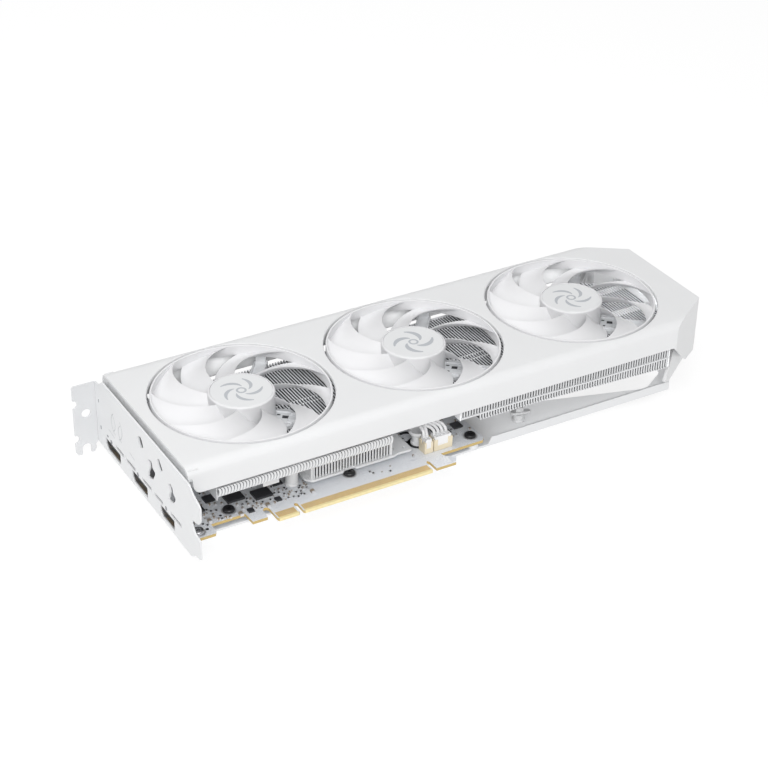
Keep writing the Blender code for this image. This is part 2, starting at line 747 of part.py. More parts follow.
def make_looks():
    white = (0.86, 0.87, 0.88)
    return {
        "shroud": material("white_plastic", white, 0.45),
        "fan": material("fan_plastic", (0.88, 0.88, 0.89), 0.4),
        "badge": material("hub_badge", (0.9, 0.9, 0.91), 0.3),
        "sheet": material("white_sheet", (0.83, 0.84, 0.85), 0.4, 0.1),
        "fin": material("white_fin", (0.85, 0.86, 0.87), 0.4, 0.1),
        "board": material("light_board", (0.62, 0.64, 0.67), 0.5),
        "package": material("package_green", (0.1, 0.16, 0.12), 0.5),
        "die": material("die_silicon", (0.25, 0.26, 0.3), 0.2, 0.3),
        "chip": material("black_epoxy", (0.03, 0.03, 0.035), 0.45),
        "socket": material("socket_shell", (0.3, 0.3, 0.32), 0.35, 0.9),
        "power": material("black_socket", (0.03, 0.03, 0.03), 0.5),
        "nickel": material("nickel", (0.7, 0.7, 0.72), 0.25, 1.0),
        "copper": material("copper_winding", (0.72, 0.35, 0.18), 0.4, 1.0),
        "brass": material("bearing_brass", (0.75, 0.6, 0.3), 0.35, 1.0),
        "steel": material("shaft_steel", (0.6, 0.6, 0.62), 0.25, 1.0),
        "magnet": material("magnet_ferrite", (0.12, 0.12, 0.13), 0.5, 0.4),
        "black_metal": material("black_screw", (0.02, 0.02, 0.02), 0.3, 0.8),
        "beige": material("beige_header", (0.78, 0.68, 0.48), 0.5),
        "cable": material("white_cable", (0.82, 0.82, 0.83), 0.5),
    }


def main():
    clear_scene()
    looks = make_looks()
    card = empty("graphics_card", -CARD_CENTRE_X, -CARD_CENTRE_Y, -CARD_BOTTOM_Z)
    make_shroud(looks["shroud"], card)
    for side, x, turn in zip(("left", "middle", "right"), FAN_X, FAN_TURN):
        rotor = make_rotor("fan_rotor_" + side, x, turn, looks["fan"], card)
        make_spindle(side, looks, rotor)
        make_motor(side, x, looks, card)
    make_bracket(looks["sheet"], card)
    make_board(looks, card)
    make_socket("displayport_left", DP_LEFT, looks["socket"], card)
    make_socket("displayport_middle", DP_MID, looks["socket"], card)
    make_socket("hdmi_port", HDMI, looks["socket"], card)
    make_power_socket("power_socket_left", 122.0, looks["power"], card)
    make_power_socket("power_socket_right", 143.0, looks["power"], card)
    make_heatsink(looks, card)
    make_backplate(looks["sheet"], card)
    make_posts(looks, card)
    make_headers(looks, card)
    make_cables(looks, card)
    bpy.context.view_layer.update()


main()
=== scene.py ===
"""White triple-fan graphics card: the looks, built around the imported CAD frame.

Pieces are drawn in millimetres in the card's own frame (x along the card from the bracket's outer
face, y from the contact edge to the top edge, z up from the board's top face) and are moved into
the frame of the CAD as each one is finished.
"""
import json
import math
import random

import bmesh
import bpy
from mathutils import Matrix, Vector


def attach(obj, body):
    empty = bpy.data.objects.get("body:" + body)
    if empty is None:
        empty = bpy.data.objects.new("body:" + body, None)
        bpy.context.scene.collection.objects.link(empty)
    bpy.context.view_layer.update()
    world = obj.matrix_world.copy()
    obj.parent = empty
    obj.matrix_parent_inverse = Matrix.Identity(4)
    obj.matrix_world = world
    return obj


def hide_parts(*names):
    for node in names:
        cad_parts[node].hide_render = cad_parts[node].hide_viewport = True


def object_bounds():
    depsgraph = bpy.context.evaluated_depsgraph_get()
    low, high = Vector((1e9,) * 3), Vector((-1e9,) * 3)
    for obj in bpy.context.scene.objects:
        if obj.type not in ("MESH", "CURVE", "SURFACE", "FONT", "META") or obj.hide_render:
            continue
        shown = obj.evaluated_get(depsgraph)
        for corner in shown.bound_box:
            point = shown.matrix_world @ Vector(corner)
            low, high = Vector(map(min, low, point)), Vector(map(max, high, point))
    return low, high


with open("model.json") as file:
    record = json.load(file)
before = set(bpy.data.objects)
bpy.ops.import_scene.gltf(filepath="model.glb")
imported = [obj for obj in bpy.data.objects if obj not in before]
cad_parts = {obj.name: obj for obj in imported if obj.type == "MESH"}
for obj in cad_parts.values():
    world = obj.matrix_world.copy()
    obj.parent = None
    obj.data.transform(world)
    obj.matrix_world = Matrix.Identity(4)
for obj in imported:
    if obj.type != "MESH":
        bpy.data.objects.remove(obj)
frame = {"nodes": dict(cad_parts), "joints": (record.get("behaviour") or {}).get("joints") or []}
CAD_BOX = [list(corner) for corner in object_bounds()]

MM = 0.001
LOW_CORNER = Vector((-12.2, -10.2, -11.5))
TO_ROW = Matrix.Translation(Vector(CAD_BOX[0]) - LOW_CORNER * MM) @ Matrix.Scale(MM, 4)
SIDES = ("left", "middle", "right")
FAN_AT = {
    joint["name"].split("_")[1]: TO_ROW.inverted() @ Vector(joint["pos_m"]) for joint in frame["joints"]
}
FAN_TURN = {"left": -83.5, "middle": -91.5, "right": -97.5}

# Camera, in the card's frame (mm, degrees).
AIM = Vector((148.312, 80.478, 0))
AZIMUTH = -30.773
ELEVATION = 31.719
ROLL = 1.203
DISTANCE = 992.07
LENS = 88.89

# ---- drawing

LIE_ALONG_X = Matrix.Rotation(math.radians(90), 4, "Y")


def slab(bm, first, second):
    """A closed shape between two rings of points."""
    near, far = ([bm.verts.new(point) for point in ring] for ring in (first, second))
    faces = [bm.faces.new(near), bm.faces.new(far)]
    for corners in zip(near, near[1:] + near[:1], far[1:] + far[:1], far):
        faces.append(bm.faces.new(corners))
    bmesh.ops.recalc_face_normals(bm, faces=faces)
    return faces


def rect(x, y):
    """The corners of a rectangle between two xs and two ys."""
    return [(x[0], y[0]), (x[1], y[0]), (x[1], y[1]), (x[0], y[1])]


def about_z(degrees):
    return Matrix.Rotation(math.radians(degrees), 4, "Z")


def prism(bm, outline, axis, low, high, spin=None):
    """Along x the outline is (y, z), along y it is (x, z), along z it is (x, y). spin turns the points."""
    place = {
        "x": lambda a, b, c: (c, a, b),
        "y": lambda a, b, c: (a, c, b),
        "z": lambda a, b, c: (a, b, c),
    }[axis]
    rings = [[place(a, b, c) for a, b in outline] for c in (low, high)]
    if spin:
        rings = [[spin @ Vector(point) for point in ring] for ring in rings]
    return slab(bm, *rings)


def box(bm, x, y, z):
    return prism(bm, rect(x, y), "z", *z)


def drawn(*shapes):
    """A mesh drawn from shapes, each one a drawing function followed by what it is given."""
    bm = bmesh.new()
    for draw, *values in shapes:
        draw(bm, *values)
    return bm


def lathe(bm, profile, segments, x=0, y=0, turn=None):
    """A closed profile of (radius, z) turned about a vertical axis, or a tilted one with turn."""
    tips = {j: bm.verts.new((x, y, z)) for j, (r, z) in enumerate(profile) if r == 0}
    columns = []
    for i in range(segments):
        angle = 2 * math.pi * i / segments
        columns.append([
            tips.get(j) or bm.verts.new((x + r * math.cos(angle), y + r * math.sin(angle), z))
            for j, (r, z) in enumerate(profile)
        ])
    faces = []
    for here, there in zip(columns, columns[1:] + columns[:1]):
        for corners in zip(here, there, there[1:] + there[:1], here[1:] + here[:1]):
            corners = list(dict.fromkeys(corners))
            if len(corners) > 2:
                faces.append(bm.faces.new(corners))
    bmesh.ops.recalc_face_normals(bm, faces=faces)
    if turn:
        verts = {vert for face in faces for vert in face.verts}
        bmesh.ops.transform(bm, matrix=turn, verts=list(verts))


def drum(bm, radius, z, segments, x=0, y=0, turn=None):
    return lathe(bm, [(0, z[0]), (radius, z[0]), (radius, z[1]), (0, z[1])], segments, x, y, turn)


def arc(cx, cy, rx, ry, start, end, steps):
    """Points along an arc of an ellipse, between two angles in degrees."""
    angles = (math.radians(start + (end - start) * i / steps) for i in range(steps + 1))
    return [(cx + rx * math.cos(angle), cy + ry * math.sin(angle)) for angle in angles]


def rounded(outline, radius, steps=3):
    """The outline with each corner rounded, by at most the given radius."""
    points = []
    for back, here, ahead in zip(outline[-1:] + outline[:-1], outline, outline[1:] + outline[:1]):
        here = Vector(here)
        back, ahead = Vector(back) - here, Vector(ahead) - here
        reach = min(radius, back.length * 0.45, ahead.length * 0.45)
        start = here + back.normalized() * reach
        end = here + ahead.normalized() * reach
        for k in range(steps + 1):
            t = k / steps
            points.append(tuple(start * (1 - t) ** 2 + here * 2 * t * (1 - t) + end * t * t))
    return points


def place_object(name, data):
    obj = bpy.data.objects.new(name, data)
    bpy.context.scene.collection.objects.link(obj)
    return obj


def new_object(name, bm, frame_of=TO_ROW):
    """An object from what was drawn in millimetres, moved into the frame of the CAD."""
    bm.transform(frame_of)
    mesh = bpy.data.meshes.new(name)
    bm.to_mesh(mesh)
    bm.free()
    return place_object(name, mesh)


def soften(obj, angle):
    for face in obj.data.polygons:
        face.use_smooth = True
    obj.data.set_sharp_from_angle(angle=math.radians(angle))


def apply_modifiers(obj):
    graph = bpy.context.evaluated_depsgraph_get()
    mesh = bpy.data.meshes.new_from_object(obj.evaluated_get(graph))
    obj.modifiers.clear()
    obj.data = mesh


def boolean(obj, operation, bm):
    """Adds or cuts the shape held in bm at once."""
    tool = new_object(obj.name + "_tool", bm)
    modifier = obj.modifiers.new("Cut", "BOOLEAN")
    modifier.operation = operation
    modifier.solver = "EXACT"
    modifier.object = tool
    apply_modifiers(obj)
    bpy.data.objects.remove(tool)


def edge_bevel(obj, width):
    modifier = obj.modifiers.new("Edges", "BEVEL")
    modifier.width = width * MM
    modifier.segments = 2
    modifier.limit_method = "ANGLE"
    modifier.angle_limit = math.radians(40)


def cut(obj, *shapes):
    boolean(obj, "DIFFERENCE", drawn(*shapes))


def finish(obj, looks, slot, node="", body="card", bevel=0, smooth=35):
    """Gives a piece its materials and its place on a CAD body, and hides the CAD node that it stands for.
    """
    for look in looks.split():
        obj.data.materials.append(LOOKS[look])
    if smooth and obj.type == "MESH":
        soften(obj, smooth)
    if bevel:
        edge_bevel(obj, bevel)
    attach(obj, body)
    if node:
        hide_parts(node)


def piece(name, looks, slot, *shapes, cuts=(), **more):
    obj = new_object(name, drawn(*shapes))
    for group in cuts:
        cut(obj, *group)
    finish(obj, looks, slot, **more)


def feed(tree, node, **values):
    """Sets a node's settings and inputs. A socket, or a node's first one, is linked in. _ is a space."""
    for key, value in values.items():
        entry = node.inputs.get(key.replace("_", " "))
        if isinstance(value, bpy.types.Node):
            value = value.outputs[0]
        if entry is None:
            setattr(node, key, value)
        elif isinstance(value, bpy.types.NodeSocket):
            tree.links.new(value, entry)
        else:
            entry.default_value = value
    return node


# ---- materials


def shader_of(name, colour, roughness, metallic=0, specular=0.5):
    made = bpy.data.materials.new(name)
    made.use_nodes = True
    tree = made.node_tree
    shader = feed(tree, tree.nodes["Principled BSDF"], Base_Color=(*colour, 1), Roughness=roughness,
                  Metallic=metallic, Specular_IOR_Level=specular)
    return made, tree, shader


def add(tree, kind, **values):
    return feed(tree, tree.nodes.new("ShaderNode" + kind), **values)


def noise(tree, scale, detail=2):
    coords = add(tree, "TexCoord")
    return add(tree, "TexNoise", Vector=coords.outputs["Object"], Scale=scale, Detail=detail)


def ramp(tree, source, low, high, positions=(0.3, 0.7)):
    made = add(tree, "ValToRGB", Fac=source)
    for element, colour, place in zip(made.color_ramp.elements, (low, high), positions):
        element.color = (*colour, 1)
        element.position = place
    return made


def textured(name, colour, roughness, grain, bump, metallic=0, vary=0.03, cloud=60):
    """A surface with fine grain in its bump and a faint drift in colour and gloss."""
    made, tree, shader = shader_of(name, colour, roughness, metallic)
    drift = noise(tree, cloud, 3)
    gloss = add(tree, "MapRange", Value=drift, To_Min=roughness * 0.9, To_Max=min(1, roughness * 1.12))
    relief = add(tree, "Bump", Strength=bump, Distance=GRAIN_DEPTH, Height=noise(tree, grain))
    tint = ramp(tree, drift, [c * (1 - vary) for c in colour], colour)
    feed(tree, shader, Base_Color=tint, Roughness=gloss, Normal=relief)
    return made


def board_look():
    """Light solder mask with faint copper tracks under it, and bare gold on the cut edges."""
    made, tree, shader = shader_of("solder_mask", (0.72, 0.74, 0.77), 0.42)
    place = add(tree, "TexCoord").outputs["Object"]
    bend = noise(tree, 90, 1).outputs["Color"]
    shift = add(tree, "MixRGB", blend_type="ADD", Fac=0.012, Color1=place, Color2=bend)
    tracks = add(tree, "TexBrick", Vector=shift, Scale=260, Mortar_Size=0.03, Color1=(0.78, 0.8, 0.83, 1),
                 Color2=(0.74, 0.76, 0.79, 1), Mortar=(0.64, 0.66, 0.7, 1))
    spot = add(tree, "TexVoronoi", Vector=place, Scale=420)
    via = ramp(tree, spot, (0.75, 0.76, 0.78), (1, 1, 1), (0.09, 0.12))
    vias = add(tree, "MixRGB", blend_type="MULTIPLY", Fac=1, Color1=tracks, Color2=via)
    split = add(tree, "SeparateXYZ", Vector=add(tree, "NewGeometry").outputs["Normal"])
    upright = add(tree, "Math", operation="ABSOLUTE", Value=split.outputs["Z"])
    flat = add(tree, "Math", operation="GREATER_THAN", Value=upright)
    flat.inputs[1].default_value = 0.5
    edge = add(tree, "MixRGB", Fac=flat, Color1=(0.52, 0.38, 0.14, 1), Color2=vias)
    relief = add(tree, "Bump", Strength=0.25, Distance=TRACK_DEPTH, Height=tracks.outputs["Fac"])
    feed(tree, shader, Base_Color=edge, Normal=relief)
    return made


# Each look: the material's name, colour, roughness, grain and bump, then how metallic it is, how far its
# colour drifts and how finely, where these are not as usual.
SURFACES = {
    "shroud": ("shroud_plastic", (0.82, 0.825, 0.832), 0.4, 5200, 0.1, 0, 0.015),
    "fan": ("fan_plastic", (0.82, 0.82, 0.832), 0.42, 5200, 0.05, 0, 0.015),
    "badge": ("badge_face", (0.8, 0.808, 0.816), 0.3, 4000, 0.04, 0, 0.02),
    "emblem": ("badge_print", (0.5, 0.52, 0.55), 0.4, 4000, 0.05),
    "sheet": ("powder_coat", (0.82, 0.828, 0.838), 0.42, 3000, 0.16, 0, 0.02),
    # Tab: the bracket's white coat made darker, painted shade for how the tab is lit.
    "tab": ("tab_coat_painted_shade", (0.71, 0.718, 0.73), 0.42, 3000, 0.16, 0, 0.02),
    "fin": ("fin_coat", (0.82, 0.828, 0.84), 0.38, 4200, 0.08, 0.15),
    # Fin sides: near black, painted shade for the deep gaps between the white fins.
    "fin_dark": ("fin_side_painted_shade", (0.1, 0.103, 0.11), 0.45, 4200, 0.08, 0.3, 0.1),
    "fin_edge": ("fin_rim", (0.7, 0.71, 0.73), 0.4, 4200, 0.08),
    # Marks: dark grey, painted shade for small raised symbols and dimples in the white sheet.
    "mark": ("mark_painted_shade", (0.24, 0.25, 0.27), 0.45, 3000, 0.1),
    # Relief: grey, painted shade along the raised arcs and bars of the white sheet.
    "relief_painted_shade": ("sheet_relief_painted_shade", (0.6, 0.61, 0.625), 0.42, 3000, 0.1, 0, 0.02),
    "gold": ("contact_gold", (0.76, 0.5, 0.13), 0.36, 3000, 0.08, 0.1, 0.1, 300),
    # Edge gold: brighter than the fingers, a painted highlight for the lit bevel.
    "gold_edge_painted_highlight": ("edge_gold_painted_highlight", (0.93, 0.8, 0.44), 0.34, 3000, 0.05, 0, 0.06, 300),
    "pad": ("tinned_pad", (0.7, 0.7, 0.71), 0.35, 3000, 0.1, 0.5),
    "chip": ("chip_epoxy", (0.04, 0.041, 0.046), 0.45, 3500, 0.12, 0, 0.2, 300),
    "ceramic": ("ceramic", (0.32, 0.26, 0.2), 0.45, 3000, 0.1, 0, 0.3, 700),
    "package": ("package_laminate", (0.07, 0.15, 0.1), 0.45, 3000, 0.1, 0, 0.1),
    "die": ("die_silicon", (0.2, 0.21, 0.25), 0.12, 2000, 0.01, 0.5),
    "choke": ("choke_ferrite", (0.22, 0.225, 0.23), 0.5, 2500, 0.2, 0, 0.12, 300),
    "shell": ("socket_shell", (0.42, 0.42, 0.43), 0.3, 2500, 0.1, 0.9, 0.1),
    "dark": ("socket_plastic", (0.016, 0.016, 0.018), 0.45, 2500, 0.12, 0, 0.15),
    "nickel": ("pipe_nickel", (0.72, 0.72, 0.74), 0.22, 1800, 0.05, 1, 0.06),
    "copper": ("winding_copper", (0.72, 0.35, 0.18), 0.35, 2500, 0.2, 1, 0.1),
    "brass": ("bearing_brass", (0.75, 0.6, 0.3), 0.32, 2500, 0.06, 1),
    "steel": ("screw_steel", (0.62, 0.62, 0.64), 0.28, 2500, 0.08, 1, 0.08),
    "magnet": ("magnet_ferrite", (0.1, 0.1, 0.11), 0.5, 2500, 0.12, 0.3),
    "black_metal": ("screw_black", (0.02, 0.02, 0.022), 0.36, 2500, 0.12, 0, 0.2),
    "beige": ("header_nylon", (0.79, 0.7, 0.52), 0.42, 2600, 0.1, 0, 0.06, 200),
    "wire": ("wire_sleeve", (0.84, 0.84, 0.85), 0.38, 3500, 0.06),
    "strut": ("motor_plastic", (0.64, 0.65, 0.665), 0.45, 3500, 0.08),
}
GRAIN_DEPTH = 0.00012
TRACK_DEPTH = 0.00008


LOOKS = {key: textured(*values) for key, values in SURFACES.items()}
LOOKS["board"] = board_look()

# ---- shroud

SHROUD_Y = (5.8, 104.6)
SHROUD_X = (2, 307.3)
SHROUD_TOP = 37.44
SHROUD_WALL = 2
CORNER_X = 272.1
CORNER_Y = (24.3, 86.4)
ALL_Z = (-10, 50)
SKIRT_Z = 24
BACK_SKIRT_Z = 18.6
FAN_Y = 55.35
HOLE_R = 45.4


def shroud_section(inset, low):
    """Cross-section in (y, z). The long edges are wide, shallow roundings."""
    wide, tall = 6.4 - inset * 0.6, 4 - inset * 0.6
    front, back, top = SHROUD_Y[0] + inset, SHROUD_Y[1] - inset, SHROUD_TOP - inset
    return [
        (front, low), *arc(front + wide, top - tall, wide, tall, 180, 90, 10),
        *arc(back - wide, top - tall, wide, tall, 90, 0, 10), (back, low),
    ]


def shroud_plan(inset, x0):
    """The shroud from above, in (x, y), with its two cut-off far corners."""
    corner, end, step = CORNER_X - inset * 0.3, SHROUD_X[1] - inset, inset * 0.3
    front, back = SHROUD_Y[0] - 5, SHROUD_Y[1] + 5
    return [
        (x0, front), (corner, front), (end, CORNER_Y[0] + step), (end, CORNER_Y[1] - step), (corner, back),
        (x0, back),
    ]


def under_skirt(skirt, step, y0, y1):
    """Cutter under a long side, in (x, z): stepped left end, raised skirt, deep far end."""
    slope_x = 278 + (SKIRT_Z - skirt) * 0.97
    return prism, rounded([
        (-5, -5), (-5, step + 0.5), (4.2, step), (4.7, skirt + 2.8), (7, skirt), (slope_x, skirt),
        (291.4, 10.2), (296, 6.4), (315, 4.6), (315, -5),
    ], 1.1), "y", y0, y1


def corner_wing(mirror, outline, depths):
    """Inner wing under a cut-off corner, reaching down to the backplate. outline is in (along, z)."""
    along = Vector((0.831, 0.556, 0))
    inward = Vector((-0.556, 0.831, 0))
    start = Vector((282.3, 12.1, 0))
    rings = []
    for depth in depths:
        ring = [start + along * t + inward * depth + Vector((0, 0, z)) for t, z in outline]
        rings.append([Vector((p.x, 2 * FAN_Y - p.y if mirror else p.y, p.z)) for p in ring])
    return drawn((slab, *rings))


WING = rounded([(-7.1, 2.6), (0, -0.5), (22.5, 1.7), (22.5, 36), (9, 36), (2.97, 17.1)], 0.8)
WING_FACE = [(4.2, 17.4), (21.5, 17.4), (21.5, 35), (9.8, 35)]


def make_liner():
    """The inner faces of the back and far walls, as pieces that the light for the inside can reach."""
    corner = new_object("corner_liner", corner_wing(True, WING_FACE, (1.5, 1.75)))
    finish(corner, "shroud", "white_plastic", smooth=0)
    for name, outline, low in (
        ("shroud_liner", [(8, 102.45), (281.4, 102.45), (281.4, 102.15), (8, 102.15)], 19.2),
        ("shroud_liner_end", [(304.95, 85.9), (304.95, 24.8), (304.65, 24.8), (304.65, 85.9)], 16),
    ):
        piece(name, "shroud", "white_plastic", (prism, outline, "z", low, 35.2), smooth=0)


def make_shroud():
    (x0, x1), (y0, y1) = SHROUD_X, SHROUD_Y
    shroud = new_object("shroud_skin", drawn((prism, shroud_section(0, 0), "x", x0, x1 + 5)))
    boolean(shroud, "INTERSECT", drawn((prism, shroud_plan(0, 0), "z", *ALL_Z)))
    cut(shroud, under_skirt(SKIRT_Z, 32.6, -10, 50))
    cut(shroud, under_skirt(BACK_SKIRT_Z, 26, 50, 120))
    hollow = new_object("hollow", drawn((prism, shroud_section(SHROUD_WALL, -5), "x", x0 - 5, x1 + 5)))
    boolean(hollow, "INTERSECT", drawn((prism, shroud_plan(SHROUD_WALL, -5), "z", *ALL_Z)))
    inner = bmesh.new()
    inner.from_mesh(hollow.data)
    inner.transform(TO_ROW.inverted())
    bpy.data.objects.remove(hollow)
    boolean(shroud, "DIFFERENCE", inner)
    lip = [(-1, 30), (2.7, 30), (2.7, 35.9), (x0 + 0.2, 36.3), (-1, 36.4)]
    cut(shroud, (prism, lip, "y", y0 + 3, y1 - 1.2))
    for x, z in ((2.7, (30.4, SHROUD_TOP - 1)), (6.2, (SKIRT_Z, 31))):
        boolean(shroud, "UNION", drawn((box, (x, 7.5), (y0 + 1.2, y1 - 1.2), z)))
    hole = [
        (0, 30), (HOLE_R, 30), (HOLE_R, SHROUD_TOP - 0.55), (HOLE_R + 0.15, SHROUD_TOP - 0.2),
        (HOLE_R + 0.5, SHROUD_TOP), (HOLE_R + 0.5, 45), (0, 45),
    ]
    cut(shroud, *((lathe, hole, 160, FAN_AT[side].x, FAN_Y) for side in SIDES))
    for mirror in (False, True):
        boolean(shroud, "UNION", corner_wing(mirror, WING, (0, 1.4)))
    make_liner()
    finish(shroud, "shroud", "white_plastic", "shroud", smooth=28)


# ---- fans

HUB_R = 16.4
HUB_TOP = 38.2
HUB_LOW = 25.5
RING_R = (43.2, 44.2)
BLADES = 9


def fan_piece(name, looks, slot, bm, side, **more):
    """A piece drawn about the origin, moved to a fan's axis."""
    centre = FAN_AT[side]
    bmesh.ops.translate(bm, verts=bm.verts, vec=(centre.x, centre.y, 0))
    finish(new_object(name + "_" + side, bm), looks, slot, **more)


def leading_angle(s):
    return -43.1 * (0.681 * s + 0.097 * s * s + 0.222 * s ** 3)


def blade_span(s):
    return 37 - 26 * s + 22 * s * s


def blade_point(s, t):
    """Upper side of a blade: s from hub to ring, t from the leading to the trailing edge."""
    radius = HUB_R + (RING_R[0] - HUB_R) * s
    angle = math.radians(leading_angle(s) + blade_span(s) * t)
    high = 37.2 + 2.6 * s - 2.3 * s * s
    low = 27.2 + 5.4 * s
    sag = math.sin(math.pi * min(max(t, 0), 1)) * (0.9 - 1.6 * s * (1 - s))
    lift = 0.6 * max(0, s - 0.86) / 0.14 * (1 - t)
    z = high + (low - high) * t - sag - lift * 0.4
    return Vector((radius * math.cos(angle), radius * math.sin(angle), z))


def blade_thickness(s, t):
    edge = max(0, 1 - abs(2 * t - 1) ** 3)
    return 0.45 + (1 - 0.35 * s) * edge


def add_blade(bm, turn):
    """A closed blade: its upper side and its under side, joined round the rim."""
    spans = [-0.04] + [i / 16 for i in range(17)] + [1.02]
    chords = [0.5 - 0.5 * math.cos(math.pi * i / 12) for i in range(13)]
    spin = Matrix.Rotation(math.radians(turn), 3, "Z")
    upper, under = {}, {}
    for grid, sunk in ((upper, 0), (under, 1)):
        for i, s in enumerate(spans):
            for j, t in enumerate(chords):
                point = blade_point(s, t)
                point.z -= sunk * blade_thickness(s, t)
                grid[i, j] = bm.verts.new(spin @ point)
    tip, tail = len(spans) - 1, len(chords) - 1
    faces = [
        bm.faces.new((grid[i, j], grid[i + 1, j], grid[i + 1, j + 1], grid[i, j + 1]))
        for grid in (upper, under) for i in range(tip) for j in range(tail)
    ]
    rim = [(i, 0) for i in range(tip)] + [(tip, j) for j in range(tail)]
    rim += [(i, tail) for i in range(tip, 0, -1)] + [(0, j) for j in range(tail, 0, -1)]
    for a, b in zip(rim, rim[1:] + rim[:1]):
        faces.append(bm.faces.new((upper[a], upper[b], under[b], under[a])))
    bmesh.ops.recalc_face_normals(bm, faces=faces)


def make_rotor(side):
    seat = HUB_TOP - 0.5
    inner, outer = RING_R
    hub = [
        (0, seat), (0, seat - 1.6), (14.9, seat - 1.6), (14.9, HUB_LOW), (HUB_R, HUB_LOW),
        *arc(HUB_R - 0.9, HUB_TOP - 0.9, 0.9, 0.9, 0, 90, 5), (15.42, HUB_TOP), (15.36, HUB_TOP - 0.06),
        (15.36, seat),
    ]
    ring = [
        (inner, 32), (outer, 32), (outer, 37.1), (outer - 0.12, 37.45), (outer - 0.4, 37.6),
        (inner + 0.25, 37.6), (inner, 37.4),
    ]
    blades = ((add_blade, FAN_TURN[side] - 360 / BLADES * k) for k in range(BLADES))
    bm = drawn((lathe, hub, 128), (lathe, ring, 200), *blades)
    fan_piece("fan_blades", "fan", "fan_plastic", bm, side, node="fan_rotor_" + side,
              body="fan_" + side, smooth=40)


def crescent(bm, turn, radius, sweep, width, z, steps=14):
    """A tapering curved bar, part of the plain pattern on the hub."""
    inner, outer = [], []
    for i in range(steps + 1):
        t = i / steps
        angle = math.radians(turn + sweep * t)
        half = width * math.sin(math.pi * (0.08 + 0.84 * t)) / 2
        middle = radius * (0.35 + 0.65 * t)
        for side, reach in ((inner, middle - half), (outer, middle + half)):
            side.append((reach * math.cos(angle), reach * math.sin(angle)))
    prism(bm, outer + inner[::-1], "z", *z)


def make_badge(side):
    """Face disc of a hub, with a plain pattern of curved bars round a ring."""
    centre, body = FAN_AT[side], "fan_" + side
    disc = [(0, 37.8), (15.2, 37.8), (15.2, 38.02), (15.06, 38.12), (0, 38.12)]
    piece("hub_disc_" + side, "badge", "badge", (lathe, disc, 128, centre.x, centre.y),
          node="hub_badge_" + side, body=body)
    low, high = 38.05, 38.17
    arms, sweep, width = (4, 88, 2.9) if side == "middle" else (5, 74, 2.3)
    turns = (FAN_TURN[side] + 360 / arms * k for k in range(arms))
    bars = ((crescent, turn, 10.6, sweep, width, (low, high)) for turn in turns)
    ring = (lathe, [(1.6, low), (2.6, low), (2.6, high), (1.6, high)], 40)
    fan_piece("hub_pattern", "emblem", "badge", drawn(*bars, ring), side, body=body)


def make_motor(side):
    """Fixed disc under the hub, with its arms out to the posts that hang from the shroud."""
    arm = [(24, 22.4), (50.6, 22.4), (50.6, 35.2), (47.4, 35.2), (47.4, 25.4), (46.2, 24.6), (24, 24.6)]
    rail = [(23, 22.4), (49, 22.4), (49, 26), (24, 26), (23, 25.2)]
    foot = [(14, -7.6), (22.5, -8.4), (25.4, -5.5), (25.4, 5.5), (22.5, 8.4), (14, 7.6)]
    ledge = [
        (15.2, -5.6), (24.4, -5.6), (24.4, -4.8), (16, -4.8), (16, 4.8), (24.4, 4.8), (24.4, 5.6),
        (15.2, 5.6),
    ]
    disc = [
        (4.6, 22.4), (14.9, 22.4), (15.6, 23), (15.6, 25), (15.3, 25.25), (13.8, 25.25), (13.6, 24.5),
        (4.6, 24.5),
    ]
    frame_bm, slots = drawn((lathe, disc, 96)), bmesh.new()
    for k in range(4):
        spin = about_z(-38 + 90 * k)
        prism(frame_bm, arm, "y", -2.6, 2.6, spin)
        for wide in (-3.4, 2.6):
            prism(frame_bm, rail, "y", wide, wide + 0.8, spin)
        prism(frame_bm, foot, "z", 22.5, 24.4, spin)
        prism(frame_bm, ledge, "z", 24.4, 25.2, spin)
        # Each slot is a thin black plate on the frame top, painted shade for a hole.
        for r, w, long, wide in ((21.2, 1, 1.5, 1.2), (17.6, 2.6, 0.8, 0.5), (18.4, -2.8, 0.6, 0.6)):
            prism(slots, rect((r - long, r + long), (w - wide, w + wide)), "z", 24.3, 24.46, spin)
    fan_piece("motor_frame", "strut", "white_plastic", frame_bm, side, node="motor_base_" + side)
    fan_piece("motor_slots", "chip", "black_metal", slots, side, smooth=0)


# ---- heatsink

MAIN_PITCH = 1.58
FLOW_PITCH = 1.6
VRM_PITCH = 1.628
FIN_TOP = 22
FIN_BACK = 94.6
FIN_SHEET = 0.3
RIM_WIDE = 0.62
RIM_TALL = 0.2
TAB_Z = (21.7, FIN_TOP + 0.1)


def corner_cut(x):
    """How far a fin stands back from the long sides, to clear the wings under the cut-off corners."""
    return 0 if x < 279 else 7.4 + (x - 282.3) * 0.669


def comb(name, node, x0, count, pitch, blade, low_edge):
    """A stack of thin plates with pale upper edges, their sides near black as painted shade for the deep
    gaps between them. low_edge gives a plate's lower edge at x.
    """
    y0, y1, top = blade
    bm = bmesh.new()
    for i in range(count):
        x = x0 + pitch * i
        y = (y0 + corner_cut(x), y1 - corner_cut(x))
        # The plate's sides carry the painted shade; its pale rim sits above them.
        box(bm, (x, x + FIN_SHEET), y, (low_edge(x), top - RIM_TALL))
        for face in box(bm, (x, x + RIM_WIDE), y, (top - RIM_TALL, top)):
            face.material_index = 1
    finish(new_object(name, bm), "fin_dark fin_edge", "white_fin", node, smooth=0)


def tabs(bm, x0, count, pitch, width, y, z):
    """A row of folded tabs, one on each plate."""
    for i in range(count):
        x = x0 + pitch * i
        box(bm, (x, x + width), y, z)


def chevrons(bm, x0, count, pitch, y, z):
    """A row of bow-shaped tabs that hook into each other."""
    low, high = z
    middle, tall = (low + high) / 2, (high - low) / 2
    for i in range(count):
        x = x0 + pitch * i
        bow = arc(x, middle, 1.15, tall, -90, 90, 6)
        prism(bm, bow + [(a + 1.12, b) for a, b in reversed(bow)], "y", *y)


